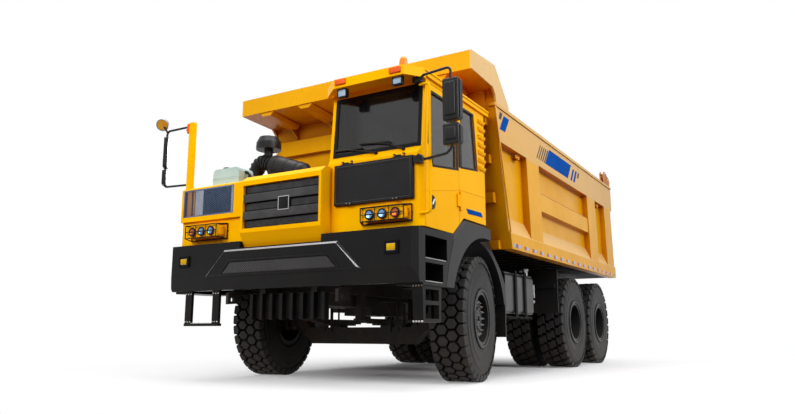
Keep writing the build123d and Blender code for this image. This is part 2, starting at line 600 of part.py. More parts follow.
# ---------------------------------------------------------------- cab
CAB_RISE_END = CAB_ARCH_Y + (CAB_ARCH_Z - CAB_BOTTOM) / ARCH_SLOPE
cab_profile = [
    (CAB_FRONT, CAB_BOTTOM), (CAB_FRONT, 2640), (CAB_FRONT + 30, CAB_BELT),
    (CAB_FRONT + 30 + RAKE, CAB_TOP), (CAB_REAR, CAB_TOP), (CAB_REAR, CAB_ARCH_Z),
    (CAB_RISE_END, CAB_ARCH_Z), (CAB_ARCH_Y, CAB_BOTTOM)]
cab = side_shape(cab_profile, CAB_X)
room_profile = [
    (CAB_FRONT + PANEL, CAB_BOTTOM + 200), (CAB_FRONT + PANEL, 2640),
    (CAB_FRONT + 30 + PANEL, CAB_BELT), (CAB_FRONT + 30 + RAKE + PANEL, CAB_TOP - 10),
    (CAB_REAR - PANEL, CAB_TOP - 10), (CAB_REAR - PANEL, CAB_ARCH_Z + PANEL),
    (CAB_RISE_END - 20, CAB_ARCH_Z + PANEL), (CAB_RISE_END - 120, CAB_BOTTOM + 200)]
cab = cab - side_shape(room_profile, (CAB_X[0] + PANEL, CAB_X[1] - PANEL))
# Windscreen hole, cut square through the leaning front wall.
SCREEN_X = (640, 1838)
SCREEN_Z = (2728, 3470)
cab = cab - block(SCREEN_X, (CAB_FRONT - 50, CAB_FRONT + 200), SCREEN_Z)
# Door opening, from the sill to the roof, in the left wall only.
DOOR_TOP = 3500
door_points = [(DOOR_FRONT, CAB_BOTTOM), (DOOR_FRONT, CAB_BELT), (DOOR_FRONT + 55, DOOR_TOP),
               (DOOR_REAR, DOOR_TOP), (DOOR_REAR, CAB_BOTTOM + (DOOR_REAR - CAB_ARCH_Y) * ARCH_SLOPE),
               (CAB_ARCH_Y, CAB_BOTTOM)]


def grown(points, by):
    """The door's outline, moved out by a gap on its four sides."""
    mid_y = sum(p[0] for p in points) / len(points)
    mid_z = sum(p[1] for p in points) / len(points)
    return [(y + (by if y > mid_y else -by), z + (by if z > mid_z else -by)) for y, z in points]


cab = cab - side_shape(grown(door_points, DOOR_GAP), (CAB_X[1] - DOOR_THICK - 6, CAB_X[1] + 20))
# Quarter window behind the door, and windows in the far side and the rear.
QUARTER = [(-660, 2660), (-158, 2725), (-267, 3463), (-660, 3463)]
cab = cab - side_shape(QUARTER, (CAB_X[1] - 120, CAB_X[1] + 20))
FAR_WINDOW = [(-1400, 2740), (-200, 2740), (-250, 3440), (-1400, 3440)]
cab = cab - side_shape(FAR_WINDOW, (CAB_X[0] - 20, CAB_X[0] + 120))
REAR_WINDOW_X, REAR_WINDOW_Z = (800, 1660), (2760, 3400)
cab = cab - block(REAR_WINDOW_X, (CAB_REAR - 120, CAB_REAR + 20), REAR_WINDOW_Z)
# Front corners are cut at 45 degrees.
CAB_CORNER = 60
cab = cab - plan_shape([(CAB_X[1] - CAB_CORNER, CAB_FRONT - 5), (CAB_X[1] + 5, CAB_FRONT - 5),
                        (CAB_X[1] + 5, CAB_FRONT + CAB_CORNER)], (CAB_BOTTOM - 5, CAB_TOP + 5))
# Roof slab with its visor: the front edge stands out over the windscreen.
ROOF_X = (550, 1910)
VISOR_FRONT = -1900
roof = plan_shape([(ROOF_X[0], 185), (ROOF_X[0], -1690), (790, VISOR_FRONT), (1757, VISOR_FRONT),
                   (ROOF_X[1], -1690), (ROOF_X[1], 185)], (CAB_TOP, ROOF_TOP))
visor_lip = plan_shape([(ROOF_X[0], -1640), (ROOF_X[0], -1690), (790, VISOR_FRONT),
                        (1757, VISOR_FRONT), (ROOF_X[1], -1690), (ROOF_X[1], -1640)],
                       (CAB_TOP - 42, CAB_TOP))
visor_hollow = plan_shape([(ROOF_X[0] + 30, -1600), (ROOF_X[0] + 30, -1680), (802, VISOR_FRONT + 30),
                           (1745, VISOR_FRONT + 30), (ROOF_X[1] - 30, -1680),
                           (ROOF_X[1] - 30, -1600)], (CAB_TOP - 60, CAB_TOP))
roof = roof + (visor_lip - visor_hollow)
cab = cab + roof
# Grab rail on the door pillar.
RAIL_GRIP_X, RAIL_GRIP_Y, GRIP_R = 1965, -1662, 16
grab_rail = tube_run([(CAB_X[1] - 45, RAIL_GRIP_Y, 3440), (RAIL_GRIP_X, RAIL_GRIP_Y, 3440),
                      (RAIL_GRIP_X, RAIL_GRIP_Y, 1940), (CAB_X[1] - 45, RAIL_GRIP_Y, 1940)], GRIP_R, 45)
cab = cab + grab_rail
# Hinge knuckles, between which the door's and the lid's own knuckles sit.
DOOR_HINGE_X, DOOR_HINGE_Y = CAB_X[1] + 16, DOOR_REAR + 14
HINGE_R = 10
DOOR_HINGE_Z, DOOR_KNUCKLE = (2225, 3300), 150
for hinge_z in DOOR_HINGE_Z:
    for side in (-1, 1):
        mid_z = hinge_z + side * (DOOR_KNUCKLE / 2 + FIT_GAP + 20)
        cab = cab + Pos(DOOR_HINGE_X, DOOR_HINGE_Y, mid_z) * Cylinder(HINGE_R, 40)
        cab = cab + block((CAB_X[1] - 2, DOOR_HINGE_X), (DOOR_HINGE_Y, DOOR_HINGE_Y + 45),
                          (mid_z - 20, mid_z + 20))
LID_X, LID_Z, LID_THICK, LID_GAP = (701, 1782), (2104, 2604), 40, 5
LID_HINGE_Y, LID_HINGE_Z = CAB_FRONT - 26, LID_Z[1] + 16
LID_HINGE_X, LID_KNUCKLE = (860, 1580), 90
for hinge_x in LID_HINGE_X:
    for side in (-1, 1):
        near = hinge_x + side * (LID_KNUCKLE / 2 + FIT_GAP)
        far = near + side * 30
        cab = cab + rod((near, LID_HINGE_Y, LID_HINGE_Z), (far, LID_HINGE_Y, LID_HINGE_Z), HINGE_R)
        cab = cab + block(sorted((near, far)), (LID_HINGE_Y, CAB_FRONT + 2),
                          (LID_HINGE_Z, LID_HINGE_Z + HINGE_R))
save("cab_shell", [cab])

rake_at = lambda z: CAB_FRONT + 30 + RAKE * (z - CAB_BELT) / (CAB_TOP - CAB_BELT)
windscreen = side_shape([
    (rake_at(SCREEN_Z[0]) + 6, SCREEN_Z[0] + REST_GAP), (rake_at(SCREEN_Z[1]) + 6, SCREEN_Z[1] - REST_GAP),
    (rake_at(SCREEN_Z[1]) + 6 + GLASS, SCREEN_Z[1] - REST_GAP),
    (rake_at(SCREEN_Z[0]) + 6 + GLASS, SCREEN_Z[0] + REST_GAP)],
    (SCREEN_X[0] + REST_GAP, SCREEN_X[1] - REST_GAP))


def shrunk(points, by):
    return grown(points, -by)


quarter_glass = side_shape(shrunk(QUARTER, REST_GAP), (CAB_X[1] - 20 - GLASS, CAB_X[1] - 20))
far_glass = side_shape(shrunk(FAR_WINDOW, REST_GAP), (CAB_X[0] + 14, CAB_X[0] + 14 + GLASS))
rear_glass = block((REAR_WINDOW_X[0] + REST_GAP, REAR_WINDOW_X[1] - REST_GAP),
                   (CAB_REAR - 30, CAB_REAR - 30 + GLASS),
                   (REAR_WINDOW_Z[0] + REST_GAP, REAR_WINDOW_Z[1] - REST_GAP))
save("cab_glass", [windscreen, quarter_glass, far_glass, rear_glass])

# Door with its glass, hinged at the rear edge.
door = side_shape(door_points, (CAB_X[1] - DOOR_THICK, CAB_X[1]))
DOOR_WINDOW = [(-1480, 2700), (-1430, 2520), (-790, 2610), (-790, 3420), (-1500, 3420), (-1545, 2780)]
door = door - side_shape(DOOR_WINDOW, (CAB_X[1] - 80, CAB_X[1] + 20))
for hinge_z in DOOR_HINGE_Z:
    span = (hinge_z - DOOR_KNUCKLE / 2, hinge_z + DOOR_KNUCKLE / 2)
    door = door + Pos(DOOR_HINGE_X, DOOR_HINGE_Y, hinge_z) * Cylinder(HINGE_R, DOOR_KNUCKLE)
    door = door + block((DOOR_HINGE_X - 8, DOOR_HINGE_X + 4), (DOOR_REAR - 70, DOOR_HINGE_Y), span)
    door = door + block((CAB_X[1] - 2, DOOR_HINGE_X), (DOOR_REAR - 70, DOOR_REAR - 4), span)
save("cab_door", [door])
door_glass = side_shape(shrunk(DOOR_WINDOW, REST_GAP), (CAB_X[1] - 20 - GLASS, CAB_X[1] - 20))
save("door_glass", [door_glass])

# Bevelled service lid on the cab's front, hinged along its upper edge.
lid = block(LID_X, (CAB_FRONT - LID_THICK - LID_GAP, CAB_FRONT - LID_GAP), LID_Z)
lid = chamfer(lid.faces().sort_by(Axis.Y)[0].edges(), 30)
for hinge_x in LID_HINGE_X:
    span = (hinge_x - LID_KNUCKLE / 2, hinge_x + LID_KNUCKLE / 2)
    knuckle_bar = rod((span[0], LID_HINGE_Y, LID_HINGE_Z), (span[1], LID_HINGE_Y, LID_HINGE_Z), HINGE_R)
    strap = block(span, (LID_HINGE_Y - 8, LID_HINGE_Y + 8), (LID_Z[1] - 20, LID_HINGE_Z))
    lid = lid + knuckle_bar + strap
save("cab_front_lid", [lid])

# Seat, column and dashboard behind the glass.
SEAT_X = 1230
seat = block((SEAT_X - 260, SEAT_X + 260), (-640, -120), (2330, 2470))
seat = seat + side_shape([(-220, 2440), (-90, 2440), (-10, 3080), (-110, 3080)],
                         (SEAT_X - 240, SEAT_X + 240))
seat = seat + block((SEAT_X - 150, SEAT_X + 150), (-520, -240), (CAB_ARCH_Z + PANEL, 2340))
dashboard = side_shape([(CAB_FRONT + 62, CAB_BOTTOM + 200), (CAB_FRONT + 62, 2650), (-1330, 2700),
                        (-1250, 2560), (-1400, 2100), (-1400, CAB_BOTTOM + 200)],
                       (CAB_X[0] + PANEL + 1, CAB_X[1] - PANEL - 60))
WHEEL_AT = (SEAT_X, -960, 2780)
column_foot = (SEAT_X, -1310, 2520)
steering_wheel = Plane(WHEEL_AT, z_dir=(0, 0.55, 0.83)) * Torus(220, 17)
column = rod(column_foot, WHEEL_AT, 32)
spoke = Plane(WHEEL_AT, z_dir=(0, 0.55, 0.83)) * Box(430, 40, 18)
save("driver_seat", [seat])
save("cab_interior", [dashboard + column + spoke + steering_wheel])

# ---------------------------------------------------------------- lamps
POD_DEPTH = 130
RIGHT_POD_X = (-1530, -975)
LEFT_POD_X = (1135, 1705)
left_pod_face = CAB_FRONT - POD_DEPTH
right_pod_face = FRONT_END
lamp_z = (1870, 2030)
left_pod = block(LEFT_POD_X, (left_pod_face + 40, CAB_FRONT), (lamp_z[0] + 4, lamp_z[1] - 4))
right_pod = block(RIGHT_POD_X, (right_pod_face + 40, lower_front), (lamp_z[0] - 20, lamp_z[1] - 24))
left_pod = fillet(left_pod.edges().filter_by(Axis.Y), 40)
right_pod = fillet(right_pod.edges().filter_by(Axis.Y), 40)
save("headlamp_pods", [left_pod, right_pod])

lamps = []
LAMP_R = 52
for (low_x, high_x), face_y, mid_z in ((LEFT_POD_X, left_pod_face, sum(lamp_z) / 2),
                                       (RIGHT_POD_X, right_pod_face, sum(lamp_z) / 2 - 22)):
    for share in (0.2, 0.5, 0.8):
        at_x = low_x + share * (high_x - low_x)
        lamps.append(rod((at_x, face_y + 40, mid_z), (at_x, face_y + 22, mid_z), LAMP_R))
FOG_X, FOG_Z = (1525, 1680), (1490, 1610)
for side in (-1, 1):
    lamps.append(block(sorted((side * FOG_X[0], side * FOG_X[1])), (BUMPER_FRONT - 18, BUMPER_FRONT), FOG_Z))
save("front_lamps", lamps)


def lamp_guard(x, face, back, z):
    """Wire cage: a ring at the face, a ring at the back, bars between and across."""
    wire = 7
    (x0, x1), (z0, z1) = x, z
    bars = []
    for at_y, grow in ((face + wire, 0), (back - 2 * wire, 45)):
        bars.append(rod((x0 - grow, at_y, z0 - grow / 3), (x1 + grow, at_y, z0 - grow / 3), wire))
        bars.append(rod((x0 - grow, at_y, z1 + grow / 3), (x1 + grow, at_y, z1 + grow / 3), wire))
        bars.append(rod((x0 - grow, at_y, z0 - grow / 3), (x0 - grow, at_y, z1 + grow / 3), wire))
        bars.append(rod((x1 + grow, at_y, z0 - grow / 3), (x1 + grow, at_y, z1 + grow / 3), wire))
    for cx, gx in ((x0, -45), (x1, 45)):
        for cz, gz in ((z0, -15), (z1, 15)):
            bars.append(rod((cx, face + wire, cz), (cx + gx, back - 2 * wire, cz + gz), wire))
    mid_z = (z0 + z1) / 2
    bars.append(rod((x0, face + wire, mid_z), (x1, face + wire, mid_z), wire * 0.7))
    for share in (0.34, 0.66):
        at_x = x0 + share * (x1 - x0)
        bars.append(rod((at_x, face + wire, z0), (at_x, face + wire, z1), wire * 0.7))
    for cx in (x0 - 45, x1 + 45):
        bars.append(rod((cx, back - 2 * wire, mid_z), (cx, back, mid_z), wire * 1.5))
    return fused(bars)


save("lamp_guards", [
    lamp_guard(LEFT_POD_X, left_pod_face, CAB_FRONT, lamp_z),
    lamp_guard(RIGHT_POD_X, right_pod_face, lower_front, (lamp_z[0] - 24, lamp_z[1] - 20))])

roof_lamps = []
for at_x in (880, 1640):
    roof_lamps.append(block((at_x - 55, at_x + 55), (-1850, -1790), (CAB_TOP - 118, CAB_TOP)))
for at_x in (905, 1600):
    roof_lamps.append(block((at_x - 60, at_x + 60), (VISOR_FRONT - 16, VISOR_FRONT), (3540, 3590)))
BEACON = (1670, -1740)
beacon = Pos(*BEACON, ROOF_TOP + 60) * Cylinder(55, 120)
beacon = beacon + Pos(*BEACON, ROOF_TOP + 120) * Sphere(55)
roof_lamps.append(beacon - block((1500, 1800), (-1900, -1500), (ROOF_TOP - 60, ROOF_TOP)))
save("roof_lamps", roof_lamps)

# ---------------------------------------------------------------- mirrors
ARM_R = 15
left_arm = tube_run([(1800, -1640, 3490), (1950, -1770, 3500), (2288, -1770, 3530), (2288, -1770, 2600),
                     (2230, -1770, 2545), (1830, -1650, 2545)], ARM_R, 50)
left_arm = left_arm + block((1770, CAB_X[1]), (-1715, -1640), (3460, 3520))
left_arm = left_arm + block((1790, CAB_X[1] - 8), (-1735, -1640), (2505, 2585))
MIRROR_HEADS = ((2915, 3390), (2640, 2870))  # low and high edge of each head
for low, high in MIRROR_HEADS:
    left_arm = left_arm + fillet(
        block((2181, 2394), (-1765, -1695), (low, high)).edges().filter_by(Axis.Y), 35)
right_arm = tube_run([(-1700, -1765, 3480), (-2250, -1765, 3480), (-2250, -1765, 2660),
                      (-1740, -1765, 2640)], ARM_R, 60)
# The right heads are turned to face the driver across the cab.
for low, high in ((2940, 3380), (2690, 2900)):
    head = fillet(block((-90, 90), (-28, 28), (low, high)).edges().filter_by(Axis.Y), 30)
    right_arm = right_arm + Pos(-2250, -1765, 0) * Rot(0, 0, -48) * head
look_down = Vector(0.5, -0.72, -0.48)
round_at = Vector(-2330, -1790, 3590)
round_mirror = Plane(round_at, z_dir=look_down) * Cylinder(84, 46)
right_arm = right_arm + round_mirror + rod((-2250, -1765, 3470), tuple(round_at), ARM_R)
left_arm = left_arm - cab
save("left_mirrors", [left_arm.solids().sort_by(SortBy.VOLUME)[-1]])
right_arm = right_arm - block(POST_X, POST_Y, (COOLER_Z[1] - 20, POST_TOP))
save("right_mirrors", right_arm.solids())

# ---------------------------------------------------------------- air intake
FILTER_Y, FILTER_R, FILTER_END_R = -900, 165, 105
FILTER_START, FILTER_END = (-960, FILTER_Y, 2985), (-430, FILTER_Y, 2800)
STACK_X = -1090
air_filter = rod(FILTER_START, FILTER_END, FILTER_R)
filter_way = Vector(*FILTER_END) - Vector(*FILTER_START)
end_cone = Plane(FILTER_END, z_dir=filter_way) * Pos(0, 0, 40) * Cone(FILTER_R, FILTER_END_R, 80)
air_filter = air_filter + end_cone
# Rain cap: (radius, Z) points of its section, over a short neck.
cap = [(0, 3245), (180, 3245), (180, 3345), (140, 3430), (0, 3445)]
cap_face = make_face(Polyline(*[(radius, 0, z) for radius, z in cap], close=True))
air_filter = air_filter + Pos(STACK_X, FILTER_Y, 0) * revolve(cap_face, Axis.Z)
air_filter = air_filter + Pos(STACK_X, FILTER_Y, 3150) * Cylinder(62, 200)
# Corrugated elbow from the silver pipe into the filter.
PIPE_TOP = (-1325, FILTER_Y, 2880)
elbow_path = FilletPolyline(PIPE_TOP, (-1272, FILTER_Y, 3160), FILTER_START, radius=165)
air_filter = air_filter + sweep(Plane(elbow_path @ 0, z_dir=elbow_path % 0) * Circle(102), elbow_path)
for n in range(7):
    share = 0.16 + 0.11 * n
    air_filter = air_filter + Plane(elbow_path @ share, z_dir=elbow_path % share) * Cylinder(115, 22)
air_filter = air_filter + rod((-1215, FILTER_Y, 2450), PIPE_TOP, 76)
air_filter = air_filter + block((-800, -600), (FILTER_Y - 100, FILTER_Y + 100), (HOOD_TOP, 2830))
air_filter = air_filter + block((-900, -650), (FILTER_Y - 60, FILTER_Y + 60), (DECK_Z, HOOD_TOP + 20))
save("air_intake", [air_filter])
tank = block((-1500, -1020), (-1560, -1280), (COOLER_Z[1], COOLER_Z[1] + 285))
tank = fillet(tank.edges().filter_by(Axis.Y), 60)
save("expansion_tank", [tank])

# ---------------------------------------------------------------- mudguards
GUARD_CROWN_R = 300
GUARD_BEVEL = 35
GUARD_END = 170  # the wide front part stops here
GUARD_RISE_END = CAB_ARCH_Y - 10 + (ARCH_TOP - BUMPER_TOP - 8) / ARCH_SLOPE
guard_outer = [(-1180, 1142), (-1082, 1450), (CAB_ARCH_Y - 10, BUMPER_TOP + 8),
               (GUARD_RISE_END, ARCH_TOP), (170, ARCH_TOP), (420, 1930), (600, 1745), (900, 1500),
               (1060, 1300), (1085, 1020), (-600, 1020), (-600, 1142)]
mudguard = side_shape(guard_outer, (ARCH_INNER_X, SIDE_X))
crown = [e for e in mudguard.edges().filter_by(Axis.X) if e.center().Z > ARCH_TOP - 2]
mudguard = fillet(crown, GUARD_CROWN_R)
mudguard = mudguard - block((1740, SIDE_X + 10), (GUARD_END, 1300), (900, ARCH_TOP + 90))
outer_face = mudguard.faces().sort_by(Axis.X)[-1]
bevelled = [e for e in outer_face.edges() if e.center().Z > BUMPER_TOP and e.center().Y < GUARD_END - 1]
mudguard = chamfer(bevelled, GUARD_BEVEL)
mudguard = mudguard - rod((ARCH_INNER_X - 10, 0, AXLE_Z), (SIDE_X + 10, 0, AXLE_Z), ARCH_R)
# A bracket ties each mudguard to the chassis rail.
bracket = block((RAIL_OUTER, ARCH_INNER_X + 30), (1030, 1065), (1180, 1290))
left_guard = mudguard + bracket + block((1400, 1735), (1050, 1075), (560, 1100))
flap_y = 3350
FLAP_X = (900, 1800)
flap = block(FLAP_X, (flap_y, flap_y + 14), (950, 1700))
flap_arm = block((RAIL_OUTER, FLAP_X[1] - 40), (flap_y - 50, flap_y), (1380, 1460))
flap = flap + flap_arm
save("mudguards", [left_guard, opposite(left_guard), flap, opposite(flap)])

# ---------------------------------------------------------------- steps, ladder and lower guard
left_step = side_shape([(-1716, BUMPER_BOTTOM), (-1700, 740), (-1280, 740), (-1264, BUMPER_BOTTOM)],
                       (1760, SIDE_X - 20))
left_step = left_step - side_shape([(-1650, 1100), (-1650, 975), (-1330, 975), (-1330, 1100)], (1700, 2000))
left_step = left_step - side_shape([(-1650, 930), (-1650, 780), (-1330, 780), (-1330, 930)], (1700, 2000))
left_step = left_step - block((1785, SIDE_X - 45), (-1685, -1295), (780, 1125))
ladder = fused([
    block((-1650, -1535), (-1800, -1760), (720, 1165)), block((-1155, -1040), (-1800, -1760), (720, 1165)),
    block((-1650, -1040), (-1810, -1740), (712, 745))])
fins = fused([block((-570, 570), (-1650, -1620), (800, 1110))]
             + [block((-560 + n * 160 - 22, -560 + n * 160 + 22), (-1720, -1640), (785, 1105))
                for n in range(8)])
for side in (-1, 1):
    fins = fins + block(sorted((side * (RAIL_X - 30), side * (RAIL_X + 30))), (-1640, -1600),
                        (800, RAIL_BOTTOM))
save("steps_and_guard", [left_step, ladder, fins])

# ---------------------------------------------------------------- tanks
TANK_Z = (885, 1545)
TANK_Y = ((1395, 1790), (1810, 2205), (2225, 2620))
tank_core = block((TANK_X[0] + 20, TANK_X[1] - 20), (TANK_Y[0][0] + 10, TANK_Y[-1][1] - 10),
                  (TANK_Z[0] + 20, TANK_Z[1] - 20))
fuel_tank = tank_core
for span in TANK_Y:
    section = block(TANK_X, span, TANK_Z)
    fuel_tank = fuel_tank + fillet(section.edges().filter_by(Axis.Y), 90)
fuel_tank = fuel_tank + Pos(1500, 2300, TANK_Z[1] + 20) * Cylinder(50, 80)
save("fuel_tank", [fuel_tank])
battery_box = block((-TANK_X[1], -TANK_X[0]), (TANK_Y[0][0], 2000), (960, 1500))
air_tanks = fused([rod((-1340, 2080, z), (-1340, 2640, z), 140) for z in (1120, 1420)]
                  + [block((-1400, -TANK_X[0]), (2475, 2565), (1150, 1310))]
                  + [block((-1380, -1300), (2475, 2565), (1100, 1440))])
save("battery_box", [battery_box, air_tanks])


# ---------------------------------------------------------------- dump body
def wall_y(z):
    """Front wall's outer line at a height."""
    return WALL_FOOT_Y + (WALL_TOP_Y - WALL_FOOT_Y) * (z - BED_BOTTOM) / (SIDE_TOP - BED_BOTTOM)


PANEL_X = HALF_WIDTH - POST_DEPTH  # outer face of the side panels
INNER_X = PANEL_X - PLATE
SIDE_END = REAR_END - 4
POST_LEAN = 100
POSTS = ((1480, 570), (4910, 590), (6250, 560))  # Y at the band, width


def bed_side():
    panel = side_shape([(wall_y(BED_BOTTOM), BED_BOTTOM), (wall_y(SIDE_TOP), SIDE_TOP),
                        (SIDE_END, SIDE_TOP), (SIDE_END, BED_BOTTOM)], (INNER_X, PANEL_X))
    parts = [panel]
    parts.append(side_shape([(wall_y(BED_BOTTOM), BED_BOTTOM), (wall_y(SIDE_RAIL_Z), SIDE_RAIL_Z),
                             (SIDE_END, SIDE_RAIL_Z), (SIDE_END, BED_BOTTOM)], (PANEL_X - 5, HALF_WIDTH)))
    parts.append(side_shape([(wall_y(BAND_Z), BAND_Z), (wall_y(SIDE_TOP - 60), SIDE_TOP - 60),
                             (SIDE_END, SIDE_TOP - 60), (SIDE_END, BAND_Z)], (PANEL_X - 5, HALF_WIDTH - 14)))
    parts.append(side_shape([(wall_y(SIDE_TOP - 60), SIDE_TOP - 50), (wall_y(SIDE_TOP), SIDE_TOP),
                             (SIDE_END, SIDE_TOP), (SIDE_END, SIDE_TOP - 50)], (PANEL_X - 5, HALF_WIDTH)))
    # Front post, leaning with the front wall.
    parts.append(side_shape([(wall_y(BED_BOTTOM), BED_BOTTOM), (wall_y(SIDE_TOP), SIDE_TOP),
                             (wall_y(SIDE_TOP) + 30, SIDE_TOP), (wall_y(BED_BOTTOM) + 30, BED_BOTTOM)],
                            (PANEL_X - 5, HALF_WIDTH - 30)))
    for top_y, width in POSTS:
        parts.append(side_shape([(top_y, BAND_Z + 20), (top_y + POST_LEAN, SIDE_RAIL_Z - 20),
                                 (top_y + POST_LEAN + width, SIDE_RAIL_Z - 20),
                                 (top_y + width, BAND_Z + 20)], (PANEL_X - 5, HALF_WIDTH - 14)))
    first_end, second_start = POSTS[0][0] + POSTS[0][1], POSTS[1][0]
    mid_rail = front_shape([(PANEL_X - 5, 2500), (PANEL_X - 5, 2870), (HALF_WIDTH - 30, 2800),
                            (HALF_WIDTH - 30, 2530)], (first_end, second_start + 80))
    parts.append(mid_rail)
    # Sloped gussets shed spoil off the lower side rail.
    gusset = front_shape([(PANEL_X - 5, SIDE_RAIL_Z - 10), (PANEL_X - 5, 2250),
                          (HALF_WIDTH - 8, SIDE_RAIL_Z), (HALF_WIDTH - 8, SIDE_RAIL_Z - 10)],
                         (wall_y(2250) + 60, SIDE_END))
    parts.append(gusset)
    return fused(parts)


LEFT_SIDE = bed_side()
GATE_PIN_R = 25
hinge_lug = side_shape([(GATE_HINGE_Y - 170, SIDE_TOP - 5), (GATE_HINGE_Y - 60, GATE_HINGE_Z + 45),
                        (GATE_HINGE_Y + 60, GATE_HINGE_Z + 45), (GATE_HINGE_Y + 170, SIDE_TOP - 5)],
                       (INNER_X + 6, INNER_X + 66))
hinge_hole_r = GATE_PIN_R + FIT_GAP
hinge_lug = hinge_lug - rod((INNER_X - 100, GATE_HINGE_Y, GATE_HINGE_Z),
                            (INNER_X + 150, GATE_HINGE_Y, GATE_HINGE_Z), hinge_hole_r)
LEFT_SIDE = LEFT_SIDE + hinge_lug
save("bed_sides", [LEFT_SIDE, opposite(LEFT_SIDE)])

# Floor plate, cross bearers, two long sills and the tipping ears.
floor_front = wall_y(FLOOR_Z) + PLATE
floor = [block((-INNER_X, INNER_X), (floor_front, GATE_Y - 10), (FLOOR_Z, FLOOR_Z + PLATE))]
BEARER_COUNT = 20
bearer_pitch = (GATE_Y - 260 - 1000) / (BEARER_COUNT - 1)
for n in range(BEARER_COUNT):
    at_y = 1000 + n * bearer_pitch
    floor.append(block((-INNER_X, INNER_X), (at_y - 40, at_y + 40), (BED_BOTTOM, FLOOR_Z)))
SILL_X, SILL_BOTTOM = (RAIL_X - 50, RAIL_X + 50), RAIL_TOP + 30
sill = block(SILL_X, (WALL_FOOT_Y + 165, PIVOT_Y - 300), (SILL_BOTTOM, BED_BOTTOM))
ear = side_shape([(PIVOT_Y - 420, BED_BOTTOM), (PIVOT_Y - 120, PIVOT_Z - 60), (PIVOT_Y, PIVOT_Z - 125),
                  (PIVOT_Y + 110, PIVOT_Z - 60), (PIVOT_Y + 150, PIVOT_Z + 120),
                  (PIVOT_Y + 160, BED_BOTTOM)], (EAR_X, EAR_X + EAR_WIDTH))
ear = ear - rod((0, PIVOT_Y, PIVOT_Z), (700, PIVOT_Y, PIVOT_Z), PIVOT_TUBE_R + PIVOT_CLEARANCE)
save("bed_floor", floor + [sill, ear, opposite(sill), opposite(ear)])

# Rubber pads on the rails, under the sills.
PADS_Y = (1100, 2500, 3900, 5600)
pads = [block(sorted((side * (RAIL_X - 40), side * (RAIL_X + 40))), (y - 110, y + 110),
              (RAIL_TOP, SILL_BOTTOM - REST_GAP)) for side in (-1, 1) for y in PADS_Y]
save("body_rest_pads", pads)

# Front wall with cross-beams and the hoist's upper ears.
wall_top = CANOPY_SHEET_Z - 20
wall = side_shape([(wall_y(BED_BOTTOM), BED_BOTTOM), (wall_y(wall_top), wall_top),
                   (wall_y(wall_top) + PLATE, wall_top), (wall_y(BED_BOTTOM) + PLATE, BED_BOTTOM)],
                  (-INNER_X, INNER_X))
WALL_BEAMS = ((1778, 1900), (2420, 2560), (2960, 3080), (3490, 3725))  # low and high edges
BEAM_OUT = 100
HOIST_ROOM_X = 200  # the beams stop short of the hoist
for low, high in WALL_BEAMS:
    for side in (-1, 1):
        wall = wall + side_shape([(wall_y(low) - BEAM_OUT, low), (wall_y(high) - BEAM_OUT + 20, high),
                                  (wall_y(high) + 5, high), (wall_y(low) + 5, low)],
                                 sorted((side * HOIST_ROOM_X, side * (INNER_X - 2))))
for side in (-1, 1):
    wall = wall + side_shape([(wall_y(BED_BOTTOM + 20) - 10, BED_BOTTOM + 20),
                              (wall_y(SIDE_TOP - 68) - 10, SIDE_TOP - 68),
                              (wall_y(SIDE_TOP - 68) + 5, SIDE_TOP - 68),
                              (wall_y(BED_BOTTOM + 20) + 5, BED_BOTTOM + 20)],
                             sorted((side * (HOIST_ROOM_X - 5), side * (HOIST_ROOM_X + 35))))
HOIST_EAR_X = (75, 115)
for side in (-1, 1):
    wall = wall + side_shape([(HOIST_EYE_Y - 75, HOIST_EYE_Z - 60), (HOIST_EYE_Y - 75, HOIST_EYE_Z + 60),
                              (wall_y(HOIST_EYE_Z + 220) + 5, HOIST_EYE_Z + 220),
                              (wall_y(HOIST_EYE_Z - 220) + 5, HOIST_EYE_Z - 220)],
                             sorted((side * HOIST_EAR_X[0], side * HOIST_EAR_X[1])))
save("bed_front_wall", [wall])

# Canopy: a tray over the cab, with an upstand in front and at both sides.
sheet_y = wall_y(wall_top)
canopy = side_shape([(CANOPY_FRONT, CANOPY_SHEET_Z + 15), (sheet_y + 60, wall_top + 2),
                     (sheet_y + 60, wall_top + 42), (CANOPY_FRONT, CANOPY_SHEET_Z + 55)],
                    (-HALF_WIDTH + 10, HALF_WIDTH - 10))
canopy = canopy + block((-HALF_WIDTH, HALF_WIDTH), (CANOPY_FRONT, CANOPY_FRONT + PLATE),
                        (CANOPY_SHEET_Z + 15, CANOPY_TOP))
cheek_shape = [(CANOPY_FRONT, CANOPY_SHEET_Z + 15), (CANOPY_FRONT, CANOPY_TOP), (268, 4322),
               (757, SIDE_TOP + 60), (757, SIDE_TOP), (WALL_TOP_Y, SIDE_TOP),
               (WALL_TOP_Y - 20, SIDE_TOP + 100), (WALL_TOP_Y - 110, 3975)]
for side in (-1, 1):
    canopy = canopy + side_shape(cheek_shape, sorted((side * (HALF_WIDTH - PLATE), side * HALF_WIDTH)))
CANOPY_RIBS = (-1500, -750, 0, 750, 1500)
for at_x in CANOPY_RIBS:
    rib = side_shape([(CANOPY_FRONT + 20, CANOPY_SHEET_Z + 20), (CANOPY_FRONT + 20, CANOPY_SHEET_Z - 45),
                      (140, wall_top - 85), (140, wall_top + 10)], (at_x - 130, at_x + 130))
    canopy = canopy + chamfer(rib.faces().sort_by(Axis.Z)[0].edges().filter_by(Axis.X, reverse=True), 50)
for at_x in CANOPY_RIBS:
    canopy = canopy + side_shape([(sheet_y - 250, wall_top - 30), (sheet_y + 2, wall_top - 30),
                                  (wall_y(wall_top - 230) - 2, wall_top - 230)], (at_x - 12, at_x + 12))
save("bed_canopy", [canopy])

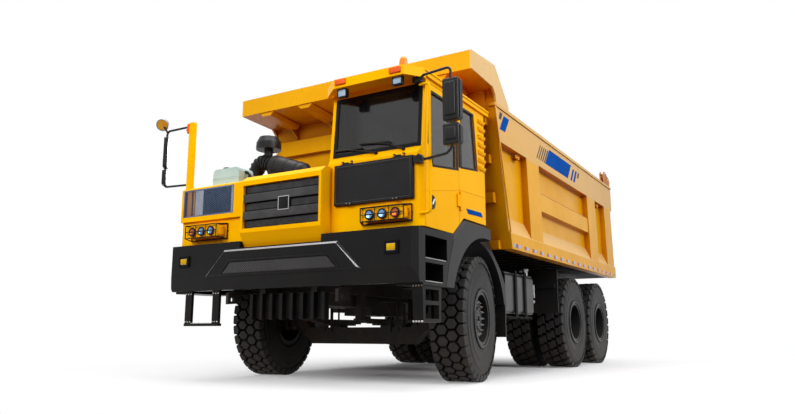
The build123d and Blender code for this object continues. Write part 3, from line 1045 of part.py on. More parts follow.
# Tailgate, hung from its two upper corners.
GATE_X = INNER_X - 14
gate = block((-GATE_X, GATE_X), (GATE_Y, GATE_Y + 45), (BED_BOTTOM + 10, SIDE_TOP - 20))
for low, high in ((BED_BOTTOM + 10, 1930), (2350, 2450), (2850, 2950), (3350, 3450),
                  (SIDE_TOP - 148, SIDE_TOP - 20)):
    gate = gate + block((-GATE_X, GATE_X), (GATE_Y + 40, REAR_END), (low, high))
for at_x in (-1500, -900, -300, 300, 900, 1500):
    gate = gate + block((at_x - 60, at_x + 60), (GATE_Y + 40, REAR_END - 8),
                        (BED_BOTTOM + 22, SIDE_TOP - 88))
for side in (-1, 1):
    arm = side_shape([(GATE_HINGE_Y - 55, GATE_HINGE_Z - 45), (GATE_HINGE_Y - 55, GATE_HINGE_Z + 50),
                      (GATE_HINGE_Y + 80, GATE_HINGE_Z + 50), (GATE_Y + 45, SIDE_TOP - 28),
                      (GATE_Y + 45, SIDE_TOP - 188),
                      (GATE_Y, SIDE_TOP - 188), (GATE_Y, SIDE_TOP + 2), (GATE_HINGE_Y + 60, GATE_HINGE_Z - 45)],
                     sorted((side * (INNER_X - 60), side * (INNER_X - 15))))
    gate = gate + arm
    pin = rod((side * (INNER_X - 60), GATE_HINGE_Y, GATE_HINGE_Z),
              (side * (INNER_X + 60), GATE_HINGE_Y, GATE_HINGE_Z), GATE_PIN_R)
    gate = gate + pin
save("tailgate", [gate])

# ---------------------------------------------------------------- hoist
hoist_way = Vector(0, HOIST_EYE_Y - HOIST_BASE_Y, HOIST_EYE_Z - HOIST_BASE_Z)
HOIST_LENGTH = hoist_way.length
hoist_up = hoist_way.normalized()


def along_hoist(distance):
    at = Vector(0, HOIST_BASE_Y, HOIST_BASE_Z) + hoist_up * distance
    return (at.X, at.Y, at.Z)


HOIST_FLOOR, HOIST_RISE = 200, 35  # floor of the barrel's bore, and each stage's wall
HOIST_BARREL_TOP = HOIST_LENGTH - 280
barrel = rod(along_hoist(140), along_hoist(HOIST_BARREL_TOP), HOIST_RADII[0])
barrel = barrel - rod(along_hoist(HOIST_FLOOR), along_hoist(HOIST_LENGTH), HOIST_RADII[1] + HOIST_STEP)
foot = rod((-HOIST_GAP_X + 5, HOIST_BASE_Y, HOIST_BASE_Z), (HOIST_GAP_X - 5, HOIST_BASE_Y, HOIST_BASE_Z), 75)
barrel = barrel + foot + rod(along_hoist(20), along_hoist(160), 60)
barrel = barrel - rod((-200, HOIST_BASE_Y, HOIST_BASE_Z), (200, HOIST_BASE_Y, HOIST_BASE_Z),
                      HOIST_PIN_R + FIT_GAP)
save("hoist_barrel", [barrel])
for n in (1, 2, 3):
    floor_at = HOIST_FLOOR + 2 + (n - 1) * HOIST_RISE
    stage = rod(along_hoist(floor_at), along_hoist(HOIST_BARREL_TOP + n * 28), HOIST_RADII[n])
    stage = stage - rod(along_hoist(floor_at + HOIST_RISE - 2), along_hoist(HOIST_LENGTH),
                        HOIST_RADII[n + 1] + HOIST_STEP)
    save(f"hoist_stage_{n}", [stage])
piston = rod(along_hoist(HOIST_FLOOR + 2 + 3 * HOIST_RISE), along_hoist(HOIST_LENGTH - 30), HOIST_RADII[4])
eye = rod((-HOIST_EAR_X[0] + 6, HOIST_EYE_Y, HOIST_EYE_Z), (HOIST_EAR_X[0] - 6, HOIST_EYE_Y, HOIST_EYE_Z), 70)
save("hoist_rod", [piston + eye])

# ---------------------------------------------------------------- track rod
track_rod = rod((ROD_RIGHT[0], ROD_RIGHT[1], ROD_Z), (ROD_LEFT[0], ROD_LEFT[1], ROD_Z), 28)
for at_x, at_y in (ROD_LEFT, ROD_RIGHT):
    track_rod = track_rod + Pos(at_x, at_y, ROD_Z) * Cylinder(40, 60)
    track_rod = track_rod + Pos(at_x, at_y, ROD_Z + 55) * Cylinder(BALL_R, 60)
save("track_rod", [track_rod])
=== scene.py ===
# %% [markdown]
# # A mining dump truck
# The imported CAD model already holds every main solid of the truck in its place. This
# lesson dresses it: tyres with real lugs, lamps, grilles, rails and bolts are modelled,
# and paint, rubber and steel are mixed from nodes. Everything is in metres.

# %% Load the frame
import math
import bmesh
import bpy
from mathutils import Matrix, Vector


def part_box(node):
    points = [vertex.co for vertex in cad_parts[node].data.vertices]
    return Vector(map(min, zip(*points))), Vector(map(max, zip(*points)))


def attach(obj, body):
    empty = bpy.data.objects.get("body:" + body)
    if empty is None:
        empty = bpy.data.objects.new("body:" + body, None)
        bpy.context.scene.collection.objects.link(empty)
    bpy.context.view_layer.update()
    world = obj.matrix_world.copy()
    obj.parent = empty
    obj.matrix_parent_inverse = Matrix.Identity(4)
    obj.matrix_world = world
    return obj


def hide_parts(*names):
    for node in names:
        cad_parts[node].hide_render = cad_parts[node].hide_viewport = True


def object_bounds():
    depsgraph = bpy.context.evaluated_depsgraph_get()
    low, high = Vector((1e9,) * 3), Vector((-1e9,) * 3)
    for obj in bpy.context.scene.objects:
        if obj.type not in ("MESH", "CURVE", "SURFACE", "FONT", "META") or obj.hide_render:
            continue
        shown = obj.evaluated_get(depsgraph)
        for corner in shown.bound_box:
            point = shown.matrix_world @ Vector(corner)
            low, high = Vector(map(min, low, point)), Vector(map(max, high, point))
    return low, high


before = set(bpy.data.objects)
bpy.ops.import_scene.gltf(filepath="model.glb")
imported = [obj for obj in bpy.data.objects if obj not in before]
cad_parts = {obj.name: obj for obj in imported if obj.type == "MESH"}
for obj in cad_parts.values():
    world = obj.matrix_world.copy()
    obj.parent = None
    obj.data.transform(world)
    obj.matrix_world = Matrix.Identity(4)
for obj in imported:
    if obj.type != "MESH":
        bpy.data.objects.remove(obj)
cad_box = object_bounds()
scene = bpy.context.scene
print("the truck measures", [round(high - low, 2) for low, high in zip(*cad_box)], "m")

# %% [markdown]
# Truck drawings measure from the front axle. One helper turns such a place, in
# millimetres, into a point of the frame, so that the numbers below read like a
# drawing: x to the truck's left, y to the rear, z up from the ground.

# %% Measure from the front axle
axle_low, axle_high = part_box("front_axle")
AXLE_Y = (axle_low[1] + axle_high[1]) / 2


def spot(x, y, z):
    return Vector((x / 1000, y / 1000 + AXLE_Y, z / 1000))


print("the front axle lies at y =", round(AXLE_Y, 3))

# %% [markdown]
# ## Camera
# The camera stands low, a little to the left of the truck's nose, and looks up at it. A
# wide lens from near the ground makes the body tower over the cab.

# %% Set up the camera
eye = bpy.data.cameras.new("eye")
eye.lens = 30.45
eye.clip_end = 200
CAMERA_PLACE = (5.359, -10.619, 0.650)
CAMERA_TURNS = (("Z", 30.53), ("X", 100.432), ("Z", -0.051))  # degrees: aside, up and level
camera = bpy.data.objects.new("eye", eye)
scene.collection.objects.link(camera)
camera.matrix_world = Matrix.Translation(CAMERA_PLACE)
for axis, degrees in CAMERA_TURNS:
    camera.matrix_world = camera.matrix_world @ Matrix.Rotation(math.radians(degrees), 4, axis)
scene.camera = camera
print("camera at", tuple(round(c, 2) for c in camera.location))

# %% [markdown]
# ## Helpers for node trees
# The world, the floor and every finish are built from nodes. These helpers add a node,
# feed its sockets and return its outlet, so that a formula reads like one.

# %% Helpers for node trees


def add_node(tree, kind, **settings):
    made = tree.nodes.new("ShaderNode" + kind)
    for key, value in settings.items():
        setattr(made, key, value)
    return made


def feed(tree, socket, value):
    """Gives a socket a plain value, or links it to another node's outlet."""
    if isinstance(value, (int, float, tuple)):
        socket.default_value = value
    else:
        tree.links.new(value, socket)


def math_node(tree, operation, first, second=0.5):
    made = add_node(tree, "Math", operation=operation)
    feed(tree, made.inputs[0], first)
    feed(tree, made.inputs[1], second)
    return made.outputs[0]


def map_range(tree, value, low, high, to_low=0.0, to_high=1.0):
    made = add_node(tree, "MapRange")
    for name, number in (("Value", value), ("From Min", low), ("From Max", high),
                         ("To Min", to_low), ("To Max", to_high)):
        feed(tree, made.inputs[name], number)
    return made.outputs["Result"]


def noise(tree, scale, detail=4.0, roughness=0.55):
    """Noise that stays in place on its piece."""
    made = add_node(tree, "TexNoise")
    for name, value in (("Vector", add_node(tree, "TexCoord").outputs["Object"]),
                        ("Scale", scale), ("Detail", detail), ("Roughness", roughness)):
        feed(tree, made.inputs[name], value)
    return made.outputs["Fac"]


def along(tree, output, axis):
    """One axis of the piece's own coordinates, or of its own normal."""
    apart = add_node(tree, "SeparateXYZ")
    tree.links.new(add_node(tree, "TexCoord").outputs[output], apart.inputs[0])
    return apart.outputs[axis]


def mix_colour(tree, mask, under, over):
    made = add_node(tree, "Mix", data_type="RGBA")
    for number, value in ((0, mask), (6, under), (7, over)):
        feed(tree, made.inputs[number], value)
    return made.outputs[2]


def mix_shaders(tree, share, first, second):
    made = add_node(tree, "MixShader")
    for number, value in enumerate((share, first, second)):
        feed(tree, made.inputs[number], value)
    return made.outputs[0]


def direct_view(tree):
    """1 for rays from the camera, from glossy paint and through glass."""
    path = add_node(tree, "LightPath")
    seen = math_node(tree, "MAXIMUM", path.outputs["Is Camera Ray"], path.outputs["Is Glossy Ray"])
    return math_node(tree, "MAXIMUM", seen, path.outputs["Is Transmission Ray"])


def new_group(name, floats_in, outputs):
    """A shader node group with number inputs (name, default) and named number outputs."""
    tree = bpy.data.node_groups.new(name, "ShaderNodeTree")
    for label, default in floats_in:
        socket = tree.interface.new_socket(label, in_out="INPUT", socket_type="NodeSocketFloat")
        socket.default_value = default
    for label in outputs:
        tree.interface.new_socket(label, in_out="OUTPUT", socket_type="NodeSocketFloat")
    return tree, tree.nodes.new("NodeGroupInput"), tree.nodes.new("NodeGroupOutput")


def place_group(tree, group, **numbers):
    made = tree.nodes.new("ShaderNodeGroup")
    made.node_tree = group
    for label, number in numbers.items():
        made.inputs[label.replace("_", " ")].default_value = number
    return made


def tone(red, green, blue):
    """A screen colour from 0 to 255, as linear light."""
    def linear(value):
        share = value / 255
        return share / 12.92 if share <= 0.04045 else ((share + 0.055) / 1.055) ** 2.4
    return (linear(red), linear(green), linear(blue), 1.0)


# %% [markdown]
# ## Light
# Soft light shows form without hard edges. A broad panel overhead, one in front, one at
# the truck's left and a dim one behind do that, and the world fills the rest. Rays from
# the camera, from glossy paint and through glass meet plain white, so chrome and glass
# mirror a bright studio while the light on the truck stays at a plain level. Glossy
# rays miss the front panel, or the windscreen would show it as a white sheet.

# %% Hang the lamps


def light_panel(name, place, aim, size, watts):
    panel = bpy.data.lights.new(name, "AREA")
    panel.shape = "RECTANGLE"
    panel.size, panel.size_y = size
    panel.energy = watts
    lamp = bpy.data.objects.new(name, panel)
    scene.collection.objects.link(lamp)
    lamp.location = place
    lamp.rotation_euler = (Vector(aim) - Vector(place)).to_track_quat("-Z", "Y").to_euler()
    return lamp


light_panel("overhead_panel", (1, -2, 13), (0, 0, 2), (13, 13), 1900)
front_panel = light_panel("front_panel", (-1, -16, 8), (0, -2, 2), (12, 6), 1600)
front_panel.visible_glossy = False
light_panel("left_panel", (15, -3, 9), (0, 0, 2), (12, 6), 1900)
light_panel("rear_panel", (-9, 15, 8), (0, 2, 2), (12, 6), 700)

world = bpy.data.worlds.new("studio")
world.use_nodes = True
scene.world = world
sky = world.node_tree
sky.nodes.clear()
shades = []
for colour, strength in (((0.88, 0.94, 1.0, 1), 0.1), ((1, 1, 1, 1), 1)):
    shade = add_node(sky, "Background")
    shade.inputs["Color"].default_value = colour
    shade.inputs["Strength"].default_value = strength
    shades.append(shade.outputs[0])
feed(sky, add_node(sky, "OutputWorld").inputs["Surface"],
     mix_shaders(sky, direct_view(sky), *shades))
scene.view_settings.view_transform = "Standard"
print("four panels and a white surround")

# %% [markdown]
# ## Shared effects
# Dust, edge wear and grain appear on nearly every surface of a working truck. Each one
# is a node group, built once: it puts out masks that change over the surface, and each
# material decides what to do with them. Object coordinates keep a pattern in place on
# its piece, whatever the shape.
#
# Paint wears first where panels turn a corner. The Bevel node rounds the normals near
# an edge, and where its answer differs from the true normal there is an edge. Noise
# breaks the line up, so that wear looks like chips, not like an outline.

# %% Group: worn edges
worn_edges, given, result = new_group("worn_edges", (("Reach", 0.008), ("Patches", 7.0)), ("Mask",))
rounded = add_node(worn_edges, "Bevel", samples=4)
likeness = add_node(worn_edges, "VectorMath", operation="DOT_PRODUCT")
feed(worn_edges, rounded.inputs["Radius"], given.outputs["Reach"])
feed(worn_edges, likeness.inputs[0], rounded.outputs["Normal"])
feed(worn_edges, likeness.inputs[1], add_node(worn_edges, "NewGeometry").outputs["Normal"])
corner = map_range(worn_edges, likeness.outputs["Value"], 0.995, 0.86)
chips = map_range(worn_edges, noise(worn_edges, given.outputs["Patches"], 6.0, 0.65), 0.46, 0.6)
feed(worn_edges, result.inputs["Mask"], math_node(worn_edges, "MULTIPLY", corner, chips))
print("worn edges:", len(worn_edges.nodes), "nodes")

# %% [markdown]
# Dust is thick near the ground and on whatever faces up, and thins out with height. Its
# edge is ragged, which a noise texture added to the height gives.

# %% Group: site dust
site_dust, given, result = new_group("site_dust", (("Clean above", 2.2), ("On top", 0.5)),
                                     ("Mask",))
ragged = noise(site_dust, 2.6, 8.0, 0.7)
fine = noise(site_dust, 38.0, 5.0, 0.7)
low_down = map_range(site_dust, along(site_dust, "Object", "Z"), given.outputs["Clean above"], 0.15)
upward = map_range(site_dust, along(site_dust, "Normal", "Z"), 0.3, 0.95)
upward = math_node(site_dust, "MULTIPLY", upward, given.outputs["On top"])
piled = math_node(site_dust, "MAXIMUM", low_down, upward)
clouded = math_node(site_dust, "MULTIPLY", piled, map_range(site_dust, ragged, 0.36, 0.66))
speckled = math_node(site_dust, "MULTIPLY", clouded,
                     map_range(site_dust, fine, 0.2, 0.75, 0.55, 1.0))
feed(site_dust, result.inputs["Mask"], speckled)
print("site dust:", len(site_dust.nodes), "nodes")

# %% [markdown]
# No paint or rubber is perfectly even. One group gives a fine grain for bump and a broad
# blotch for colour and gloss.

# %% Group: surface grain
surface_grain, given, result = new_group("surface_grain", (("Fineness", 220.0),),
                                         ("Grain", "Blotch"))
feed(surface_grain, result.inputs["Grain"], noise(surface_grain, given.outputs["Fineness"], 3.0))
feed(surface_grain, result.inputs["Blotch"], noise(surface_grain, 1.7, 5.0, 0.6))
print("surface grain:", len(surface_grain.nodes), "nodes")

# %% [markdown]
# Paint looks deeper and redder where two panels face each other, because their colour
# is thrown back and forth between them. That shade is painted into the colour here: the
# Ambient Occlusion node finds such places, and the finish turns them darker, as painted shade.

# %% Group: painted shade in enclosed places
painted_shade_group, given, result = new_group("painted_shade_places", (("Distance", 0.5), ("Open", 0.85)),
                                     ("Mask",))
occlusion_node = add_node(painted_shade_group, "AmbientOcclusion", samples=6)
feed(painted_shade_group, occlusion_node.inputs["Distance"], given.outputs["Distance"])
feed(painted_shade_group, result.inputs["Mask"],
     map_range(painted_shade_group, occlusion_node.outputs["AO"], given.outputs["Open"], 0.25))
print("sheltered places:", len(painted_shade_group.nodes), "nodes")

# %% [markdown]
# ## Finishes
# Every finish is one Principled shader fed by the four groups: a base colour that
# drifts between two tones, dust over it, bare or worn colour on its edges, gloss that
# changes with the blotches and a slight bump. Numbers that are the same all over stay on
# the shader's own sockets.

# %% Mix a finish


DUST = tone(158, 140, 118)
BAND_FROM_MIDDLE = (1.972, 1.976)  # where the body's flat upper band starts, sideways
BAND_FROM_GROUND = (3.22, 3.26)  # and upward


def make_finish(name, colour, shade, rough, *, spread=0.08, metal=0.0, shine=0.3, coat=0.0,
                dust=0.1, clean_above=1.8, on_top=0.6, wear=0.0, wear_colour=None, reach=0.008,
                fineness=220.0, bump=0.08, depth=0.0006, under=None, under_z=0.0, painted_shade_colour=None,
                painted_shade_reach=0.5, painted_sheen_colour=None):
    """A finish from two tones, a roughness, and how shiny, dusty, worn and grainy it is.

    All colours are screen colours from 0 to 255. under is the colour of what lies below
    the height under_z. deep is painted shade: the darker colour that places enclosed by
    other panels turn to. bleached is a painted sheen: the paler colour of slopes that face
    the sky and of the flat band high on the body's sides.
    """
    finish = bpy.data.materials.new(name)
    finish.use_nodes = True
    tree = finish.node_tree
    shader = tree.nodes["Principled BSDF"]
    grain = place_group(tree, surface_grain, Fineness=fineness)
    base = mix_colour(tree, map_range(tree, grain.outputs["Blotch"], 0.35, 0.68),
                      tone(*colour), tone(*shade))
    # Painted shade: places that other panels enclose turn to a darker, redder colour.
    if painted_shade_colour:
        painted_shade_node = place_group(tree, painted_shade_group, Distance=painted_shade_reach)
        base = mix_colour(tree, painted_shade_node.outputs["Mask"], base, tone(*painted_shade_colour))
    # Painted sheen: slopes that face the sky and the flat upper band turn paler, for the bright sky
    # they reflect.
    if painted_sheen_colour:
        from_middle = math_node(tree, "ABSOLUTE", along(tree, "Object", "X"))
        band = math_node(tree, "MULTIPLY", map_range(tree, from_middle, *BAND_FROM_MIDDLE),
                         map_range(tree, along(tree, "Object", "Z"), *BAND_FROM_GROUND))
        slope = map_range(tree, along(tree, "Normal", "Z"), 0.12, 0.3)
        sheen_mask = math_node(tree, "MULTIPLY", math_node(tree, "MAXIMUM", band, slope), 0.85)
        base = mix_colour(tree, sheen_mask, base, tone(*painted_sheen_colour))
    if under:
        below = map_range(tree, along(tree, "Object", "Z"), under_z + 0.01, under_z)
        base = mix_colour(tree, below, base, tone(*under))
    if wear:
        edges = place_group(tree, worn_edges, Reach=reach)
        worn = math_node(tree, "MULTIPLY", edges.outputs["Mask"], wear)
        base = mix_colour(tree, worn, base, tone(*wear_colour))
    dirt = place_group(tree, site_dust, Clean_above=clean_above, On_top=on_top)
    dusty = math_node(tree, "MULTIPLY", dirt.outputs["Mask"], dust)
    gloss = map_range(tree, grain.outputs["Blotch"], 0.3, 0.7, rough - spread / 2,
                      rough + spread / 2)
    gloss = math_node(tree, "ADD", gloss, math_node(tree, "MULTIPLY", dusty, 0.5))
    relief = add_node(tree, "Bump")
    for label, value in (("Strength", bump), ("Distance", depth),
                         ("Height", grain.outputs["Grain"])):
        feed(tree, relief.inputs[label], value)
    for label, value in (("Base Color", mix_colour(tree, dusty, base, DUST)), ("Roughness", gloss),
                         ("Normal", relief.outputs["Normal"]), ("Metallic", metal),
                         ("Specular IOR Level", shine), ("Coat Weight", coat),
                         ("Coat Roughness", 0.12)):
        feed(tree, shader.inputs[label], value)
    return finish


# Below, each yellow's darker colour for enclosed places is painted shade, and its paler colour for
# slopes and the upper band is a painted sheen.
yellow = make_finish("machine_yellow", (253, 188, 0), (250, 182, 0), 0.3, wear=0.15,
                     wear_colour=(206, 156, 50), shine=0.04, dust=0.05, clean_above=1.9,
                     painted_shade_colour=(238, 150, 0), painted_shade_reach=0.08)
bed_yellow = make_finish("bed_yellow", (231, 169, 2), (223, 161, 2), 0.34, wear=0.2,
                         wear_colour=(196, 146, 50), reach=0.012, shine=0.13, dust=0.06,
                         clean_above=2.2, painted_shade_colour=(166, 72, 0), painted_shade_reach=0.55,
                         painted_sheen_colour=(214, 172, 104))
black = make_finish("satin_black", (21, 21, 22), (16, 16, 17), 0.36, wear=0.35,
                    wear_colour=(84, 83, 82), shine=0.12, dust=0.05)
# The steps and the guard get a black darker than the satin black: painted shade.
step_black_painted_shade = make_finish("step_black_painted_shade", (14, 14, 15), (10, 10, 11), 0.45, wear=0.4,
                         wear_colour=(60, 59, 58), shine=0.12, dust=0.05)
charcoal = make_finish("charcoal_paint", (36, 36, 38), (30, 30, 32), 0.4, wear=0.25,
                       wear_colour=(84, 83, 82), shine=0.12, dust=0.05)
shadow_black = make_finish("grille_shadow", (10, 10, 11), (7, 7, 8), 0.6, dust=0.03, shine=0.1)
canopy_yellow = make_finish("canopy_yellow", (228, 166, 4), (220, 158, 4), 0.3, wear=0.2,
                            wear_colour=(196, 146, 50), reach=0.012, shine=0.14, dust=0.08,
                            clean_above=2.2, painted_shade_colour=(170, 76, 0), painted_shade_reach=0.6,
                            painted_sheen_colour=(216, 184, 130))
moulded = make_finish("moulded_black", (25, 25, 26), (19, 19, 20), 0.42, fineness=420, bump=0.25,
                      shine=0.26, dust=0.06, clean_above=1.6)
frame_grey = make_finish("chassis_paint", (34, 33, 33), (27, 26, 26), 0.5, wear=0.3,
                         wear_colour=(80, 76, 72), dust=0.16, shine=0.2)
# The tread's floor and the sidewall get darker rubber than the lugs: painted shade between the lugs
# and on the tyre's side. The lighter worn edges are wear.
rubber = make_finish("tyre_rubber", (46, 46, 46), (37, 37, 37), 0.6, fineness=160, bump=0.35,
                     depth=0.0012, dust=0.14, clean_above=0.9, on_top=0.2, wear=0.35,
                     wear_colour=(62, 61, 60), reach=0.006, shine=0.25)
wall_shade_rubber = make_finish("wall_shade_rubber", (25, 25, 25), (20, 20, 20), 0.5, fineness=120, bump=0.3,
                          depth=0.001, dust=0.1, clean_above=0.8, on_top=0.2, wear=0.6,
                          wear_colour=(92, 91, 90), reach=0.008, shine=0.16)
groove_shade_rubber = make_finish("groove_shade_rubber", (14, 14, 14), (10, 10, 10), 0.9, fineness=90, bump=0.4,
                            depth=0.001, dust=0.05, clean_above=0.5, on_top=0.1, shine=0.1)
rim_paint = make_finish("rim_paint", (36, 36, 37), (29, 29, 30), 0.38, wear=0.5,
                        wear_colour=(120, 118, 116), shine=0.2, dust=0.08, clean_above=0.8)
cast_iron = make_finish("cast_iron", (38, 36, 35), (28, 27, 26), 0.6, fineness=90, bump=0.4,
                        depth=0.0015, dust=0.2, shine=0.25)
bare_steel = make_finish("bare_steel", (170, 168, 164), (150, 147, 142), 0.3, metal=0.9, dust=0.1)
silver_paint = make_finish("silver_paint", (186, 188, 190), (170, 172, 175), 0.35, metal=0.6,
                           dust=0.08)
tank_grey = make_finish("tank_grey", (66, 67, 68), (48, 49, 50), 0.3, metal=0.55, dust=0.1,
                        shine=0.3)
rest_rubber = make_finish("rest_rubber", (30, 29, 29), (24, 23, 23), 0.8, fineness=120, bump=0.4,
                          depth=0.001)
pale_green = make_finish("pale_green_plastic", (176, 202, 204), (160, 188, 190), 0.35, fineness=320)
hoist_steel = make_finish("hoist_paint", (50, 48, 47), (40, 39, 38), 0.35, shine=0.3, dust=0.15)
floor_paint = make_finish("bed_floor_paint", (247, 182, 2), (240, 174, 2), 0.4, shine=0.1,
                          dust=0.25, wear=0.4, wear_colour=(160, 140, 110), under=(18, 18, 18),
                          under_z=1.86)
cabin_grey = make_finish("cabin_trim", (48, 49, 52), (38, 39, 42), 0.7, fineness=500, bump=0.3,
                         shine=0.2)
print(len(bpy.data.materials), "finishes so far")

# %% [markdown]
# Glass is a thin clear pane with a green-grey tint, and lamps are small bright objects:
# a mirror bowl under a clear or amber lens. Their noise is very slight, just enough to
# keep a large pane from looking ideal.

# %% Glass, lenses and mirrors


def make_glass(name, tint, haze, front_tint=None):
    """Clear coloured glass with a little dust; front_tint colours what stands at the nose."""
    pane = bpy.data.materials.new(name)
    pane.use_nodes = True
    tree = pane.node_tree
    grain = place_group(tree, surface_grain, Fineness=60.0)
    darker = tuple(c * 0.93 for c in tint[:3]) + (1.0,)
    body = mix_colour(tree, map_range(tree, grain.outputs["Blotch"], 0.3, 0.7), tint, darker)
    if front_tint:
        nose = map_range(tree, along(tree, "Object", "Y"), AXLE_Y - 1.40, AXLE_Y - 1.48)
        body = mix_colour(tree, nose, body, front_tint)
    dirt = place_group(tree, site_dust, Clean_above=2.6, On_top=0.8)
    dusty = math_node(tree, "MULTIPLY", dirt.outputs["Mask"], 0.1)
    gloss = map_range(tree, grain.outputs["Grain"], 0.3, 0.7, haze, haze + 0.05)
    for label, value in (("Transmission Weight", 0.92), ("IOR", 1.45), ("Roughness", gloss),
                         ("Base Color", mix_colour(tree, dusty, body, DUST))):
        feed(tree, tree.nodes["Principled BSDF"].inputs[label], value)
    return pane


window_glass = make_glass("window_glass", tone(128, 132, 134), 0.02, tone(66, 69, 71))
lamp_glass = make_glass("blue_lens", tone(120, 166, 214), 0.05)
turn_glass = make_glass("turn_lens", tone(196, 84, 30), 0.08)
mirror_face = make_finish("mirror_face", (222, 226, 230), (214, 219, 224), 0.06, spread=0.02,
                          metal=1.0, dust=0.08, bump=0.0)
bright_bowl = make_finish("bright_bowl", (232, 238, 246), (214, 222, 232), 0.16, metal=0.9,
                          dust=0.05, bump=0.02)
amber_glow = make_finish("amber_reflector", (240, 120, 20), (220, 96, 12), 0.3, coat=0.8, dust=0.05,
                         fineness=640, bump=0.5)
red_glow = make_finish("red_reflector", (176, 20, 18), (156, 14, 12), 0.3, coat=0.2, dust=0.05,
                       fineness=640, bump=0.5)
pale_glow = make_finish("pale_reflector", (150, 188, 226), (136, 174, 214), 0.3, coat=0.2,
                        dust=0.05, fineness=640, bump=0.5)
band_blue = make_finish("band_blue", (0, 78, 164), (0, 70, 152), 0.6, shine=0.02)
band_grey = make_finish("band_grey", (92, 90, 88), (80, 78, 76), 0.6, shine=0.02)
print("glass, lenses and reflectors are ready")

# %% [markdown]
# ## Finishes on the CAD nodes
# The solids from the CAD model keep their shape and get their finish through their
# material slots. A table from node to finish is the clearest way to do that.

# %% Give every CAD node its finish
NODE_FINISHES = (
    (frame_grey, "chassis_frame battery_box"),
    (cast_iron, "front_axle rear_axles leaf_springs left_knuckle right_knuckle track_rod "
     "driveline engine_block"),
    (rest_rubber, "body_rest_pads"),
    (black, "front_bumper lamp_guards"),
    (yellow, "front_hood side_radiator_housing right_deck cab_shell cab_door headlamp_pods"),
    (shadow_black, "front_grilles"),
    (window_glass, "cab_glass door_glass"),
    (charcoal, "cab_front_lid"),
    (cabin_grey, "driver_seat cab_interior"),
    (bright_bowl, "front_lamps"),
    (moulded, "roof_lamps left_mirrors right_mirrors air_intake mudguards"),
    (pale_green, "expansion_tank"),
    (step_black_painted_shade, "steps_and_guard"),
    (tank_grey, "fuel_tank"),
    (bed_yellow, "bed_sides bed_front_wall tailgate"),
    (floor_paint, "bed_floor"),
    (canopy_yellow, "bed_canopy"),
    (hoist_steel, "hoist_barrel"),
    (bare_steel, "hoist_stage_1 hoist_stage_2 hoist_stage_3 hoist_rod"),
    (rubber, "front_left_tyre front_right_tyre middle_left_tyres middle_right_tyres "
     "rear_left_tyres rear_right_tyres"),
    (rim_paint, "middle_left_rims middle_right_rims rear_left_rims rear_right_rims "
     "front_left_rim front_right_rim"),
)
finish_of = {node: finish for finish, nodes in NODE_FINISHES for node in nodes.split()}
for name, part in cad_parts.items():
    for place in part.material_slots:
        place.material = finish_of[name]
print(len(finish_of), "nodes finished")

# %% [markdown]
# ## The floor
# A wide disc catches the shadow. Near the truck it is a pale matt floor. Further out it
# turns, for the camera and for reflections, into plain white, so that no horizon shows.
# To the light that bounces up under the truck it is dark and warm, as packed earth is,
# so that the underside keeps its depth.

# %% Lay the floor
shape = bmesh.new()
bmesh.ops.create_circle(shape, cap_ends=True, segments=96, radius=70)
bmesh.ops.translate(shape, vec=(0, 0, cad_box[0][2]), verts=shape.verts)
floor_mesh = bpy.data.meshes.new("studio_floor")
shape.to_mesh(floor_mesh)
shape.free()
floor = bpy.data.objects.new("studio_floor", floor_mesh)
scene.collection.objects.link(floor)
matt = bpy.data.materials.new("studio_floor")
matt.use_nodes = True
tree = matt.node_tree
tree.nodes.clear()
reach = add_node(tree, "VectorMath", operation="LENGTH")
feed(tree, reach.inputs[0], add_node(tree, "TexCoord").outputs["Object"])
pale, quiet = add_node(tree, "BsdfDiffuse"), add_node(tree, "BsdfDiffuse")
feed(tree, pale.inputs["Color"],
     mix_colour(tree, noise(tree, 3.0, 6.0), tone(244, 244, 245), tone(238, 238, 240)))
feed(tree, quiet.inputs["Color"], tone(120, 92, 72))
open_white = add_node(tree, "Emission")
feed(tree, open_white.inputs["Color"], (1, 1, 1, 1))
fade = mix_shaders(tree, map_range(tree, reach.outputs["Value"], 1.6, 7.0), pale.outputs[0],
                   open_white.outputs[0])
feed(tree, add_node(tree, "OutputMaterial").inputs["Surface"],
     mix_shaders(tree, direct_view(tree), quiet.outputs[0], fade))
floor_mesh.materials.append(matt)
print("floor at z =", round(cad_box[0][2], 4))

# %% [markdown]
# ## Building helpers
# A rolled rod, an eased block and a plate cut to an outline make most fittings on a
# truck. Each helper starts from a bmesh primitive, puts it in place with a matrix and
# bevels its edges, because no real edge is perfectly sharp and a bevel catches light.

# %% Helpers for solids


def join_part(bm, part):
    """Adds the mesh of part to bm. The part itself is used up."""
    mesh = bpy.data.meshes.new("part")
    part.to_mesh(mesh)
    part.free()
    bm.from_mesh(mesh)
    bpy.data.meshes.remove(mesh)


def everything(bm):
    return bm.verts[:] + bm.edges[:] + bm.faces[:]


def turn_all(bm, degrees, axis):
    bmesh.ops.rotate(bm, cent=(0, 0, 0), verts=bm.verts,
                     matrix=Matrix.Rotation(math.radians(degrees), 3, axis))


def move_all(bm, way):
    bmesh.ops.translate(bm, vec=way, verts=bm.verts)


def repeat_round(bm, count):
    """Copies what bm holds to count places round the X axis."""
    bmesh.ops.spin(bm, geom=everything(bm), cent=(0, 0, 0), axis=(1, 0, 0), dvec=(0, 0, 0),
                   angle=math.tau * (count - 1) / count, steps=count - 1, use_duplicate=True)


def edges_of(verts):
    """Every edge at these verts, once each."""
    return dict.fromkeys(edge for vert in verts for edge in vert.link_edges)


def bevel_edges(bm, edges, width, segments=2):
    bmesh.ops.bevel(bm, geom=list(edges), offset=width, offset_type="OFFSET", affect="EDGES",
                    segments=segments, profile=0.5, material=-1, clamp_overlap=True)


